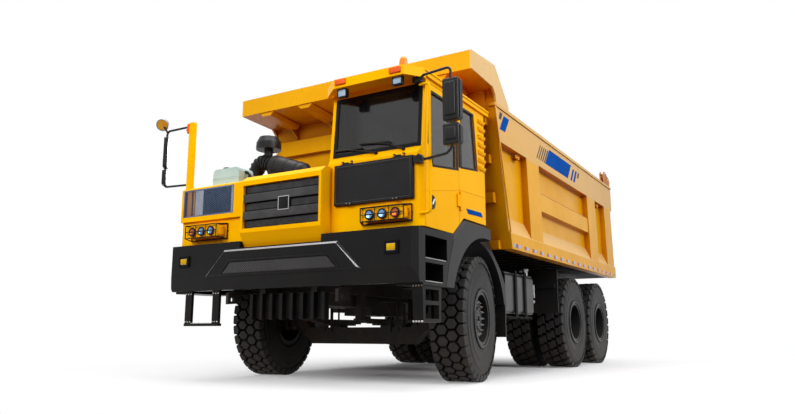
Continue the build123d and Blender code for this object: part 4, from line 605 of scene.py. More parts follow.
def eased_block(bm, low, high, ease=0.003, segments=2, turn=None):
    """A block between two corners; turn is a rotation about its middle."""
    middle = (low + high) / 2
    size = Matrix.Diagonal((*(high - low), 1))
    spin = turn.to_4x4() if turn else Matrix.Identity(4)
    made = bmesh.ops.create_cube(bm, size=1.0,
                                 matrix=Matrix.Translation(middle) @ spin @ size)["verts"]
    if ease:
        bevel_edges(bm, edges_of(made), ease, segments)


def block_mm(bm, x, y, z, ease=3, segments=2, turn=None):
    """The same block from (low, high) pairs in millimetres from the front axle."""
    eased_block(bm, spot(x[0], y[0], z[0]), spot(x[1], y[1], z[1]), ease / 1000, segments, turn)


def rolled_rod(bm, start, end, radius, segments=20, ease=0.0, tip=None):
    """A round bar between two points; tip is its radius at the far end."""
    way = end - start
    place = Matrix.Translation((start + end) / 2) @ way.to_track_quat("Z", "Y").to_matrix().to_4x4()
    made = bmesh.ops.create_cone(bm, cap_ends=True, segments=segments, radius1=radius,
                                 radius2=radius if tip is None else tip, depth=way.length,
                                 matrix=place)
    if ease:
        rims = [edge for edge in edges_of(made["verts"])
                if any(len(face.verts) > 4 for face in edge.link_faces)]
        bevel_edges(bm, rims, ease)


def cut_plate(bm, outline, thickness, ease=0.0, segments=2):
    """A flat outline, given as points, thickened along the vector thickness."""
    verts = [bm.verts.new(point) for point in outline]
    face = bm.faces.new(verts)
    grown = bmesh.ops.extrude_face_region(bm, geom=[face], use_keep_orig=True)
    moved = [item for item in grown["geom"] if isinstance(item, bmesh.types.BMVert)]
    bmesh.ops.translate(bm, vec=thickness, verts=moved)
    if ease:
        bevel_edges(bm, edges_of(verts + moved), ease, segments)


def finish_piece(name, bm, finishes, body="chassis", smooth=35, merge=0.00004):
    """Cleans a mesh, gives it its finish and lets it ride on a body of the truck."""
    bmesh.ops.remove_doubles(bm, verts=bm.verts, dist=merge)
    bmesh.ops.recalc_face_normals(bm, faces=bm.faces)
    mesh = bpy.data.meshes.new(name)
    bm.to_mesh(mesh)
    bm.free()
    mesh.shade_smooth()
    mesh.set_sharp_from_angle(angle=math.radians(smooth))
    for finish in finishes if isinstance(finishes, list) else [finishes]:
        mesh.materials.append(finish)
    piece = bpy.data.objects.new(name, mesh)
    scene.collection.objects.link(piece)
    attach(piece, body)
    print(name, "has", len(mesh.polygons), "faces")
    return piece


def block_piece(name, finish, blocks, body="chassis"):
    """A piece made of blocks alone: each is a row of numbers for block_mm."""
    bm = bmesh.new()
    for block in blocks:
        block_mm(bm, *block)
    return finish_piece(name, bm, finish, body)


# %% [markdown]
# ## Tyres
# A tyre is a carcass with rubber lugs moulded onto it. The carcass is half of its
# section, mirrored in the list and spun about the axle. A lug is cut to its outline,
# narrowed towards its top and set on the carcass once. Spinning with duplicates then
# places a whole row, at the real tyre's pitch.

# %% The carcass


def spin_section(bm, section, steps=88, close=False):
    """An open line of (x, radius) points, spun right round the X axis."""
    verts = [bm.verts.new((x, 0, r)) for x, r in section]
    edges = [bm.edges.new(pair) for pair in zip(verts, verts[1:])]
    if close:
        edges.append(bm.edges.new((verts[-1], verts[0])))
    bmesh.ops.spin(bm, geom=verts + edges, cent=(0, 0, 0), axis=(1, 0, 0), dvec=(0, 0, 0),
                   angle=math.tau, steps=steps, use_merge=True)


TURN_FROM_X = {"front": (-90, "Z"), "up": (-90, "Y"), "left": (0, "X")}


def turned(bm, way, section, place, steps=40, close=False, stretch=(1, 1, 1)):
    """Spins (out, radius) points round an axis that points to the front, up or left."""
    part = bmesh.new()
    spin_section(part, section, steps, close)
    turn_all(part, *TURN_FROM_X[way])
    bmesh.ops.scale(part, vec=stretch, verts=part.verts)
    move_all(part, place)
    join_part(bm, part)


TYRE_R = (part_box("front_left_tyre")[1][2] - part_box("front_left_tyre")[0][2]) / 2
GROOVE_R = TYRE_R - 0.038
HALF_SECTION = [(0.219, 0.331), (0.2195, 0.352), (0.219, 0.374), (0.229, 0.400), (0.233, 0.404),
                (0.2345, 0.430), (0.2320, 0.434), (0.2355, 0.470), (0.2390, 0.510), (0.2400, 0.547),
                (0.2400, 0.556), (0.2360, 0.561), (0.2365, 0.600), (0.2350, 0.640), (0.2375, 0.645),
                (0.2375, 0.655), (0.2330, 0.660), (0.2270, 0.700), (0.2200, 0.738), (0.2080, 0.758),
                (0.1900, GROOVE_R)]


def add_carcass(bm):
    """The carcass: the floor of its tread gets the second finish, its walls the third."""
    left = HALF_SECTION
    right = [(-x, r) for x, r in reversed(HALF_SECTION)]
    spin_section(bm, left + right, close=True)
    # The darker finishes on the tread's floor and on the walls are painted shade.
    for face in bm.faces:
        face.material_index = 1 if face.calc_center_median().yz.length > GROOVE_R - 0.012 else 2


print("groove radius", round(GROOVE_R, 4))

# %% [markdown]
# The front tyres have a rock tread: pentagonal shoulder lugs whose points reach between
# two staggered rows of hexagons. The rear tyres have three columns of stepped blocks
# that interlock and stand slightly askew.

# %% The lugs
LUG_TOP = TYRE_R - 0.0022
SHOULDER_X = 0.219  # a lug's top ends here; its foot reaches down the sidewall


def add_lug_row(bm, outline, count, offset, chamfer=0.003):
    """One lug from (x, along) points, repeated count times round the tyre."""
    row = bmesh.new()
    verts = [row.verts.new((x, along, GROOVE_R - 0.006)) for x, along in outline]
    foot = row.faces.new(verts)
    grown = bmesh.ops.extrude_face_region(row, geom=[foot], use_keep_orig=True)
    top = [item for item in grown["geom"] if isinstance(item, bmesh.types.BMVert)]
    bmesh.ops.translate(row, vec=(0, 0, LUG_TOP - GROOVE_R + 0.006), verts=top)
    middle = Vector((sum(v.co.x for v in top) / len(top), 0, 0))
    bmesh.ops.scale(row, vec=(0.95, 0.93, 1), space=Matrix.Translation(-middle), verts=top)
    for vert in top:
        vert.co.x = max(-SHOULDER_X, min(SHOULDER_X, vert.co.x))
    for vert in verts:
        if abs(vert.co.x) > SHOULDER_X + 0.01:
            vert.co.z = 0.722
    crown = [edge for edge in row.edges if all(vert in top for vert in edge.verts)]
    bevel_edges(row, crown, chamfer, 1)
    turn_all(row, offset * 360 / count, "X")
    repeat_round(row, count)
    join_part(bm, row)


ROCK_PITCHES, BLOCK_PITCHES = 34, 29


def add_rock_tread(bm):
    shoulder = [(0.240, -0.046), (0.240, 0.046), (0.216, 0.063), (0.162, 0.063), (0.124, 0.0),
                (0.162, -0.063), (0.216, -0.063)]
    hexagon = [(-0.074, 0), (-0.034, 0.061), (0.034, 0.061), (0.074, 0), (0.034, -0.061),
               (-0.034, -0.061)]
    for side in (1, -1):
        near = 0.0 if side > 0 else 0.5
        add_lug_row(bm, [(side * x, along) for x, along in shoulder], ROCK_PITCHES, near + 0.5)
        add_lug_row(bm, [(side * 0.064 + x, along) for x, along in hexagon], ROCK_PITCHES, near)


def add_block_tread(bm):
    block = [(-0.071, -0.082), (-0.010, -0.082), (0.010, -0.050), (0.071, -0.050), (0.071, 0.074),
             (0.010, 0.074), (-0.010, 0.042), (-0.071, 0.042)]
    lean = Matrix.Rotation(math.radians(5), 2)
    for column in (-1, 0, 1):
        outline = [lean @ Vector(point) for point in block]
        outline = [(x * 1.04 + column * 0.162, along) for x, along in outline]
        outline = [(max(-0.240, min(0.240, x)), along) for x, along in outline]
        add_lug_row(bm, outline, BLOCK_PITCHES, 0.5 * (column == 0), 0.0035)


# %% Mount the tyres
STEER_REST = 8  # degrees to the left, as the truck parks
TWIN_SPACING = 0.61  # between the middles of a pair
TWIN_TURN = math.degrees(0.03)  # so that the lugs of a pair don't line up
HALF_TURN = {"left": 0, "right": 180}  # wheels are made for the left side
WHEELS = [("front", side, "") for side in HALF_TURN]
WHEELS += [(axle, side, "s") for axle in ("middle", "rear") for side in HALF_TURN]


def middle_of(node):
    low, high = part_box(node)
    return (Vector(low) + Vector(high)) / 2


for axle, side, plural in WHEELS:
    tyre = bmesh.new()
    if plural:
        for outer in (-1, 1):
            single = bmesh.new()
            add_carcass(single)
            add_block_tread(single)
            turn_all(single, TWIN_TURN * outer + HALF_TURN[side], "X")
            move_all(single, (outer * TWIN_SPACING / 2, 0, 0))
            join_part(tyre, single)
    else:
        add_carcass(tyre)
        add_rock_tread(tyre)
        turn_all(tyre, STEER_REST + HALF_TURN[side], "Z")
    node, kind = f"{axle}_{side}_tyre{plural}", "block_tyres" if plural else "rock_tyre"
    move_all(tyre, middle_of(node))
    piece = finish_piece(f"{axle}_{side}_{kind}", tyre, [rubber, groove_shade_rubber, wall_shade_rubber],
                         f"{axle}_{side}_wheel{plural}", 28)
    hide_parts(node)

# %% [markdown]
# ## Wheels
# Each wheel is bolted to its hub by a ring of nuts on studs, and the rim's edge carries
# a rounded lock ring. A nut is a six-sided prism on a round washer; one is made and then
# spun round the axle. Hub cap, flange and rings are turned from their sections.

# %% Nuts, hub caps and lock rings


def add_ring_of_nuts(bm, x, circle, count, size, stud):
    """Nuts on the +X side of a disc, round the X axis."""
    one = bmesh.new()
    foot = Vector((x, 0, circle))
    washer, top = Vector((size * 0.25, 0, 0)), Vector((size * 1.15, 0, 0))
    rolled_rod(one, foot, foot + washer, size * 0.78, 18)
    rolled_rod(one, foot + washer, foot + top, size * 0.58, 6, 0.002)
    rolled_rod(one, foot + top, foot + Vector((size * 1.15 + stud, 0, 0)), size * 0.3, 12)
    repeat_round(one, count)
    join_part(bm, one)


nut_steel = make_finish("nut_steel", (176, 175, 173), (146, 145, 143), 0.3, metal=0.4, dust=0.1)
HUB_CAP = [(0.184, 0.060), (0.184, 0.034), (0.206, 0.030), (0.206, 0.000), (0.206, 0.001),
           (0.183, 0.001)]
FLANGE = [(0.140, 0.152), (0.158, 0.152), (0.164, 0.190), (0.160, 0.262), (0.150, 0.270),
          (0.140, 0.262)]
LOCK_RING = [(0.231, 0.352), (0.243, 0.352), (0.247, 0.362), (0.245, 0.376), (0.238, 0.382),
             (0.231, 0.378)]
DISH_EDGE = [(0.086, 0.268), (0.104, 0.272), (0.116, 0.292), (0.116, 0.306), (0.086, 0.306)]
OUTER_WHEEL = TWIN_SPACING / 2
# For each kind of wheel: rows for add_ring_of_nuts, then sections with their steps.
FRONT_WHEEL = (((0.084, 0.185, 10, 0.030, 0.012), (0.162, 0.214, 16, 0.024, 0.010),
                (0.182, 0.120, 8, 0.014, 0.003)),
               ((HUB_CAP, 32), (FLANGE, 64), (LOCK_RING, 88), (DISH_EDGE, 64)), STEER_REST)
REAR_WHEEL = (((0.026, 0.262, 16, 0.026, 0.014), (OUTER_WHEEL + 0.080, 0.150, 12, 0.018, 0.005)),
              (([(OUTER_WHEEL + x, r) for x, r in LOCK_RING], 88),), 0)
for axle, side, plural in WHEELS:
    nut_rings, sections, rest = REAR_WHEEL if plural else FRONT_WHEEL
    nuts, trim = bmesh.new(), bmesh.new()
    for ring in nut_rings:
        add_ring_of_nuts(nuts, *ring)
    for section, steps in sections:
        spin_section(trim, section, steps, close=True)
    for name, bm, finish in (("wheel_nuts", nuts, nut_steel),
                             ("lock_ring" + plural, trim, rim_paint)):
        turn_all(bm, rest + HALF_TURN[side], "Z")
        move_all(bm, middle_of(f"{axle}_{side}_tyre{plural}"))
        finish_piece(f"{axle}_{side}_{name}", bm, finish,
                     f"{axle}_{side}_wheel{plural}")

# %% [markdown]
# ## Sheets of holes
# Grilles are sheets with rows of holes. A grid gives the cells, insetting every cell
# leaves a strand round it, and deleting the inner faces opens the holes. Turned by 45
# degrees and stretched, the same sheet is expanded metal. Cutting planes trim it to its
# frame, and solidify gives it a thickness.

# %% Helpers for sheets and rings


def hole_sheet(bm, outline, y, cell, strand, thickness, diamonds=True):
    """A sheet of holes facing the front, in a convex outline of (x, z) points in millimetres."""
    corners = [spot(x, y, z) for x, z in outline]
    middle = sum(corners, Vector()) / len(corners)
    width = max(c.x for c in corners) - min(c.x for c in corners)
    height = max(c.z for c in corners) - min(c.z for c in corners)
    across, up = width / cell[0], height / cell[1]
    sheet = bmesh.new()
    if diamonds:
        count = math.ceil(across + up) + 2
        bmesh.ops.create_grid(sheet, x_segments=count, y_segments=count, size=count / 2)
        turn_all(sheet, 45, "Z")
        stretch = (cell[0] / 2 ** 0.5, cell[1] / 2 ** 0.5, 1)
    else:
        columns, rows = round(across), round(up)
        bmesh.ops.create_grid(sheet, x_segments=columns, y_segments=rows, size=0.5)
        stretch = (width, height, 1)
    bmesh.ops.scale(sheet, vec=stretch, verts=sheet.verts)
    cells = sheet.faces[:]
    bmesh.ops.inset_individual(sheet, faces=cells, thickness=strand / 2, use_even_offset=True)
    bmesh.ops.delete(sheet, geom=cells, context="FACES")
    turn_all(sheet, 90, "X")
    move_all(sheet, middle)
    for start, end in zip(corners, corners[1:] + corners[:1]):
        edge = end - start
        outward = Vector((edge.z, 0, -edge.x))
        if outward.dot(start - middle) < 0:
            outward.negate()
        bmesh.ops.bisect_plane(sheet, geom=everything(sheet), plane_co=start, plane_no=outward,
                               clear_outer=True)
    bmesh.ops.remove_doubles(sheet, verts=sheet.verts, dist=0.00002)
    bmesh.ops.recalc_face_normals(sheet, faces=sheet.faces)
    bmesh.ops.solidify(sheet, geom=sheet.faces[:], thickness=thickness)
    join_part(bm, sheet)


def ring_of(bm, points, width, thickness, ease=0.0, index=0):
    """A flat frame inside an outline of points, thickened along the vector thickness."""
    part = bmesh.new()
    face = part.faces.new([part.verts.new(point) for point in points])
    face.normal_update()
    band = bmesh.ops.inset_region(part, faces=[face], use_boundary=True, use_even_offset=True,
                                  thickness=width)["faces"]
    bmesh.ops.delete(part, geom=[face], context="FACES")
    grown = bmesh.ops.extrude_face_region(part, geom=band, use_keep_orig=True)
    bmesh.ops.translate(part, vec=thickness,
                        verts=[v for v in grown["geom"] if isinstance(v, bmesh.types.BMVert)])
    bmesh.ops.recalc_face_normals(part, faces=part.faces)
    if ease:
        sharp = [edge for edge in part.edges if edge.calc_face_angle(0) > 0.9]
        bevel_edges(part, sharp, ease, 2)
    for face in part.faces:
        face.material_index = index
    join_part(bm, part)


def front_ring(bm, x, z, y, width, depth, ease=2, index=0):
    """A rectangular frame facing the front: millimetres, y is its rear face."""
    points = [spot(x[0], y, z[0]), spot(x[1], y, z[0]), spot(x[1], y, z[1]), spot(x[0], y, z[1])]
    ring_of(bm, points, width / 1000, Vector((0, -depth / 1000, 0)), ease / 1000, index)


def bolt_heads(bm, places, way, radius=9, height=6):
    """Six-sided bolt heads at points in millimetres, standing out along way."""
    for place in places:
        foot = spot(*place)
        rolled_rod(bm, foot, foot + Vector(way) * height / 1000, radius / 1000, 6, 0.0015)


# %% [markdown]
# ## The nose
# Between the lamps stand three grilles: five perforated bands in the hood, an expanded
# mesh before the side radiator and a fine mesh low in the bumper.

# %% The hood's grille
BAND_LOW, BAND_PITCH = 1915, 111
band_metal = make_finish("grille_metal", (60, 60, 61), (46, 46, 47), 0.36, wear=0.3,
                         wear_colour=(120, 119, 118), shine=0.3, dust=0.05)
bands = bmesh.new()
for n in range(5):
    low, high = BAND_LOW + n * BAND_PITCH + 8, BAND_LOW + (n + 1) * BAND_PITCH - 8
    if n % 2:
        block_mm(bands, (-606, 597), (-1890, -1873), (low - 6, high + 6), 9)
        face = -1891
    else:
        face = -1857
    hole_sheet(bands, [(-588, low + 8), (588, low + 8), (588, high - 8), (-588, high - 8)], face,
               (0.0165, 0.0132), 0.0054, 0.0025, diamonds=False)
finish_piece("hood_grille_bands", bands, band_metal)
badge = bmesh.new()
front_ring(badge, (-25, 145), (2107, 2278), -1888, 9, 9, 2)
finish_piece("plain_badge_frame", badge, silver_paint)
block_piece("plain_badge_plate", black,
            [((-18, 138), (-1893, -1886), (2114, 2271))])
bolts = bmesh.new()
bolt_heads(bolts, [(x, -1861, z) for z in (1921, 2463) for x in (-420, 0, 420)], (0, -1, 0), 8)
finish_piece("grille_bolts", bolts, nut_steel)

# %% The side radiator's opening
core_blue = make_finish("radiator_fins", (34, 48, 74), (18, 28, 48), 0.4, metal=0.3, fineness=300,
                        bump=0.3, dust=0.1)
mesh_blue = make_finish("mesh_paint", (92, 114, 146), (62, 80, 112), 0.3, metal=0.1, shine=0.5,
                        dust=0.06)
expanded = bmesh.new()
hole_sheet(expanded, [(-1728, 2159), (-816, 2159), (-816, 2524), (-1728, 2524)], -1847,
           (0.050, 0.030), 0.0042, 0.002)
front_ring(expanded, (-1731, -813), (2156, 2527), -1845, 16, 4, 1)
finish_piece("radiator_mesh", expanded, mesh_blue)
# Posts and side tanks are parts of the opening. The tanks' bright silver is a painted highlight,
# and the posts' yellow is a painted reflection, both seen through the mesh.
painted_highlight_silver = make_finish("radiator_painted_highlight", (214, 218, 224), (150, 160, 174), 0.3, fineness=90,
                          bump=0.8, depth=0.004, dust=0.05)
CORE_Z = (2160, 2523)
block_piece("radiator_core", core_blue,
            [((-1366 + n * 11.5, -1361 + n * 11.5), (-1840, -1828.5), CORE_Z, 0)
             for n in range(44)])
for name, finish, slot, spans, ease in (
        ("radiator_frame_posts", bed_yellow, "yellow_paint", ((-1675, -1592), (-1563, -1530)), 2),
        ("radiator_side_tanks", painted_highlight_silver, "grille_black", ((-1521, -1379), (-868, -822)), 3)):
    block_piece(name, finish, [(span, (-1838, -1828.5), CORE_Z, ease) for span in spans])

# %% The bumper's mesh and ledges
painted_ledge_highlight = make_finish("painted_ledge_highlight", (176, 176, 178), (150, 150, 152), 0.35, wear=0.3,
                          wear_colour=(176, 175, 172), dust=0.1)
mesh_grey = make_finish("mesh_grey", (66, 66, 67), (54, 54, 55), 0.35, dust=0.06)
low_mesh = bmesh.new()
MESH_OUTLINE = [(-750, 1496), (750, 1496), (878, 1366), (-878, 1366)]
hole_sheet(low_mesh, MESH_OUTLINE, -1929, (0.040, 0.030), 0.011, 0.002)
finish_piece("bumper_mesh", low_mesh, mesh_grey)
surround = bmesh.new()
ring_of(surround,
        [spot(x, -1919, z) for x, z in ((-778, 1530), (778, 1530), (950, 1340), (-950, 1340))],
        0.026, Vector((0, -0.013, 0)), 0.005)
finish_piece("bumper_mesh_frame", surround, black)
# The ledge is a thin strip round the bumper's raised centre; its pale grey is a painted highlight
# for the light its bevelled edges catch from above.
ledge = bmesh.new()
outer = [(-883, 1663.5), (883, 1663.5), (1211, 1333), (-1211, 1333)]
face = ledge.faces.new([ledge.verts.new(spot(x, -1897, z)) for x, z in outer])
face.normal_update()
band = bmesh.ops.inset_region(ledge, faces=[face], use_boundary=True, use_even_offset=True,
                              thickness=0.024)["faces"]
bmesh.ops.translate(ledge, vec=(0, -0.0245, 0), verts=face.verts)
lower = min(band, key=lambda strip: strip.calc_center_median().z)
bmesh.ops.delete(ledge, geom=[face, lower], context="FACES")
bmesh.ops.recalc_face_normals(ledge, faces=ledge.faces)
bmesh.ops.solidify(ledge, geom=ledge.faces[:], thickness=0.0015)
finish_piece("bumper_ledge_highlight", ledge, painted_ledge_highlight)

# %% [markdown]
# ## Lamps
# The mirror bowls of the headlamps are solids already. Each gets a slightly domed lens,
# held by a dark bezel. Both are turned, so each is a short section spun round the axis.

# %% Headlamps
LENS_SECTION = [(0.047, 0.002), (0.0455, 0.020), (0.0405, 0.036), (0.034, 0.0455)]
BEZEL_SECTION = [(0.028, 0.046), (0.040, 0.046), (0.044, 0.050), (0.042, 0.058), (0.028, 0.060)]
bezels = bmesh.new()
clear, amber = bmesh.new(), bmesh.new()
for pod_x, face_y, mid_z, outboard in (((1135, 1705), -1820, 1950, 0.8),
                                       ((-1530, -975), -1980, 1928, 0.2)):
    for share in (0.2, 0.5, 0.8):
        place = spot(pod_x[0] + share * (pod_x[1] - pod_x[0]), face_y + 26, mid_z)
        turned(bezels, "front", BEZEL_SECTION, place + Vector((0, 0.026, 0)), 32, True)
        turned(amber if share == outboard else clear, "front", LENS_SECTION,
               place + Vector((0, 0.026, 0)), 32)
finish_piece("headlamp_bezels", bezels, black)
finish_piece("headlamp_lenses", clear, lamp_glass)
finish_piece("turn_lamp_lenses", amber, turn_glass)

# %% Fog lamps in the bumper
frames, lenses = bmesh.new(), bmesh.new()
for side in (1, -1):
    span = sorted((side * 1512, side * 1693))
    front_ring(frames, span, (1478, 1622), -1889, 34, 24, 3)
    bolt_heads(frames, [(x, -1913, z) for x in (span[0] + 16, span[1] - 16) for z in (1494, 1606)],
               (0, -1, 0), 8)
    block_mm(lenses, (span[0] + 36, span[1] - 36), (-1917, -1906), (1514, 1586), 5)
finish_piece("fog_lamp_frames", frames, shadow_black)
fog_amber = make_finish("fog_lamp_amber", (238, 196, 10), (196, 150, 4), 0.25, shine=0.15,
                        dust=0.03, fineness=500, bump=0.6, depth=0.001)
finish_piece("fog_lamp_lenses", lenses, fog_amber)

# %% [markdown]
# ## The cab's front
# The service lid is a pressed door: a raised frame round a flat field, two latches
# below. Over it, the windscreen sits in a black border, and two wipers rest on it.

# %% Lid frame, field and latches
lid_parts = bmesh.new()
front_ring(lid_parts, (706, 1777), (2109, 2599), -1712, 26, 27, 5)
front_ring(lid_parts, (742, 1741), (2145, 2563), -1733, 12, 6, 3)
for at_x in (923, 1559):
    block_mm(lid_parts, (at_x - 42, at_x + 42), (-1752, -1730), (2104, 2134), 5)
finish_piece("lid_frame", lid_parts, charcoal, "front_lid")
# A thin grey ring just inside the frame is a painted highlight on the edge of the recessed field.
lid_line = bmesh.new()
front_ring(lid_line, (728, 1755), (2131, 2577), -1738, 8, 3, 1)
finish_piece("lid_edge_highlight", lid_line, mesh_grey, "front_lid")
lid_bolts = bmesh.new()
bolt_heads(lid_bolts, [(x + d, -1752, 2119) for x in (923, 1559) for d in (-24, 24)], (0, -1, 0), 7)
finish_piece("lid_latch_bolts", lid_bolts, nut_steel, "front_lid")
block_piece("lid_hinge_plates", moulded,
            [((x - 18, x + 18), (-1696, -1689), (2612, 2652)) for x in (796, 924, 1516, 1644)])

# %% Windscreen border and wipers


def screen_y(z, out=0.0):
    """The windscreen leans back with height; out is the distance before it."""
    return -1660 + 70 * (z - 2700) / 850 - out


border = bmesh.new()
around = [(628, 2716), (1850, 2716), (1850, 3482), (628, 3482)]
ring_of(border, [spot(x, screen_y(z, 1.5), z) for x, z in around], 0.047, Vector((0, -0.003, 0)),
        0.001)
for at_x, low, width in ((905, 3338, 190), (1682, 3338, 150)):
    block_mm(border, (at_x - width / 2, at_x + width / 2), (-1572, -1560), (low, 3476), 5)
finish_piece("windscreen_border", border, black)
wipers = bmesh.new()
for pivot, knee, ends in (((1252, 2708), (1010, 2762), ((668, 2803), (1055, 2790))),
                          ((1626, 2705), (1420, 2792), ((1019, 2846), (1439, 2816)))):
    foot = spot(pivot[0], screen_y(pivot[1], 0), pivot[1])
    nose = spot(pivot[0], screen_y(pivot[1], 34), pivot[1])
    rolled_rod(wipers, foot, nose, 0.022, 20, 0.003, 0.018)
    bend = spot(knee[0], screen_y(knee[1], 26), knee[1])
    hold = (Vector(ends[0]) + Vector(ends[1])) / 2
    rolled_rod(wipers, nose, bend, 0.011, 10, tip=0.008)
    rolled_rod(wipers, bend, spot(hold[0], screen_y(hold[1], 20), hold[1]), 0.007, 10)
    start, stop = [spot(x, screen_y(z, 16), z) for x, z in ends]
    rolled_rod(wipers, start, stop, 0.010, 10)
    start, stop = [spot(x, screen_y(z, 7), z - 4) for x, z in ends]
    rolled_rod(wipers, start, stop, 0.005, 6)
finish_piece("wipers", wipers, moulded)

# %% [markdown]
# ## On the roof
# Under the visor hang two work lamps, in it sit two marker lamps, and a beacon stands
# on the roof. Together they are one piece with four finishes, which takes the place of
# the plain solids of the CAD model.

# %% Beacon, markers and work lamps


def merge_parts(parts):
    """Joins (bmesh, finish number) pairs into one mesh; number None keeps what is set."""
    whole = bmesh.new()
    for part, index in parts:
        if index is not None:
            for face in part.faces:
                face.material_index = index
        join_part(whole, part)
    return whole


orange = make_finish("orange_lens", (236, 96, 12), (214, 72, 6), 0.3, shine=0.3, dust=0.03,
                     fineness=700, bump=0.5, depth=0.001)
beacon_amber = make_finish("beacon_amber", (250, 150, 8), (240, 120, 4), 0.25, shine=0.4, dust=0.03)
housings, oranges, faces, dome = bmesh.new(), bmesh.new(), bmesh.new(), bmesh.new()
turned(dome, "up",
       [(0.034, 0.001), (0.034, 0.052), (0.085, 0.050), (0.122, 0.046), (0.150, 0.036),
        (0.165, 0.020), (0.168, 0.001)], spot(1670, -1740, 3622))
turned(dome, "up",
       [(0.0, 0.001), (0.0, 0.056), (0.012, 0.060), (0.030, 0.060), (0.036, 0.054), (0.036, 0.001)],
       spot(1670, -1740, 3622))
for at_x, high in ((892, 3577), (1650, 3572)):
    block_mm(oranges, (at_x - 76, at_x + 76), (-1921, -1899), (high - 36, high + 34), 8, 3)
for at_x, mid_z in ((880, 3458), (1648, 3470)):
    block_mm(housings, (at_x - 66, at_x + 66), (-1850, -1792), (mid_z - 54, mid_z + 54), 12, 3)
    block_mm(housings, (at_x - 20, at_x + 20), (-1836, -1806), (mid_z + 50, 3552), 4)
    front_ring(housings, (at_x - 68, at_x + 68), (mid_z - 56, mid_z + 56), -1846, 15, 12, 4)
    block_mm(faces, (at_x - 53, at_x + 53), (-1853, -1848), (mid_z - 41, mid_z + 41), 2)
pale_lens = make_finish("work_lamp_face", (176, 204, 226), (120, 152, 184), 0.2, coat=0.9,
                        dust=0.03, fineness=900, bump=0.6, depth=0.001)
roof_set = finish_piece("roof_lamp_set",
                        merge_parts([(housings, 0), (oranges, 1), (faces, 2), (dome, 3)]),
                        [moulded, orange, pale_lens, beacon_amber])
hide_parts("roof_lamps")

# %% [markdown]
# ## The cab's side
# Black borders frame the windows and run over the pillar between them, as bonded glass
# does. Behind them come air louvres, and below a pressed bead and the door's handle.

# %% Window borders and louvres
DOOR_WINDOW = [(-1480, 2700), (-1430, 2520), (-790, 2610), (-790, 3420), (-1500, 3420),
               (-1545, 2780)]
QUARTER = [(-660, 2660), (-158, 2725), (-267, 3463), (-660, 3463)]


def grown_outline(points, by):
    """Moves a convex (y, z) outline outward from its middle."""
    middle = sum((Vector(p) for p in points), Vector((0, 0))) / len(points)
    moved = []
    for point in points:
        way = Vector(point) - middle
        moved.append(Vector(point) + Vector((math.copysign(by, way.x), math.copysign(by, way.y))))
    return moved


for name, window, pillar, body in (
        ("door_window_border", DOOR_WINDOW, ((-794, -743), (2604, 3424)), "cab_door"),
        ("quarter_window_border", QUARTER, ((-733, -656), (2652, 3470)), "chassis")):
    border = bmesh.new()
    outline = [spot(1879.5, y, z) for y, z in grown_outline(window, 10)]
    ring_of(border, outline, 0.026, Vector((0.0035, 0, 0)), 0.001)
    block_mm(border, (1879, 1883), *pillar, 1)
    finish_piece(name, border, black, body)
lean = Matrix.Rotation(math.radians(24), 3, "Y")
block_piece("pillar_louvres", yellow,
            [((1872, 1904), (-126, 74), (2752 + n * 108, 2800 + n * 108), 5, 2, lean)
             for n in range(7)])

# %% Bead, rain gutter and handle
door_bead, cab_bead = bmesh.new(), bmesh.new()
rolled_rod(door_bead, spot(1880, -1600, 2206), spot(1880, -750, 2364), 0.005, 10)
rolled_rod(cab_bead, spot(1880, -732, 2367), spot(1880, 74, 2404), 0.005, 10)
finish_piece("cab_side_bead", cab_bead, yellow)
finish_piece("door_bead", door_bead, yellow, "cab_door")
block_piece("rain_gutter", yellow, [((1898, 1922), (-1660, 190), (3598, 3628), 6)])
handle, shell_bm = bmesh.new(), bmesh.new()
turned(shell_bm, "left",
       [(0.001, 0.001), (0.003, 0.050), (0.010, 0.060), (0.010, 0.072), (0.0, 0.076), (0.0, 0.001)],
       spot(1880, -1450, 2091), 40, False, (1, 0.85, 1.1))
rolled_rod(handle, spot(1893, -1480, 2060), spot(1893, -1425, 2126), 0.013, 16, 0.003)
rolled_rod(handle, spot(1880, -1480, 2060), spot(1895, -1480, 2060), 0.011, 12)
finish_piece("door_handle_bowl", shell_bm, moulded, "cab_door")
finish_piece("door_handle", handle, silver_paint, "cab_door")

# %% [markdown]
# ## Mirrors
# The housings come from the CAD model. Each gets a glass face, set in a thin rim, and
# clamps hold the arms. The round one at the top right looks down on the bumper.

# %% Mirror faces, clamps and the post's lamp
glasses, clamps = bmesh.new(), bmesh.new()
LEFT_MIRRORS, RIGHT_MIRRORS = ((2915, 3390), (2640, 2870)), ((2940, 3380), (2690, 2900))
for low, high in LEFT_MIRRORS:
    block_mm(glasses, (2196, 2379), (-1697, -1690), (low + 16, high - 16), 6, 3)
    block_mm(clamps, (2262, 2314), (-1792, -1762), ((low + high) / 2 - 70, (low + high) / 2 + 70),
             12, 3)
    bolt_heads(clamps, [(2272, -1792, (low + high) / 2 + d) for d in (-45, 45)], (0, -1, 0), 8)
for low, high in RIGHT_MIRRORS:
    part = bmesh.new()
    eased_block(part, Vector((-0.074, 0.025, low / 1000 + 0.014)),
                Vector((0.074, 0.032, high / 1000 - 0.014)), 0.005)
    turn_all(part, -48, "Z")
    move_all(part, (-2.250, -1.765 + AXLE_Y, 0))
    join_part(glasses, part)
    block_mm(clamps, (-2276, -2226), (-1796, -1740), ((low + high) / 2 - 60, (low + high) / 2 + 60),
             10, 3)
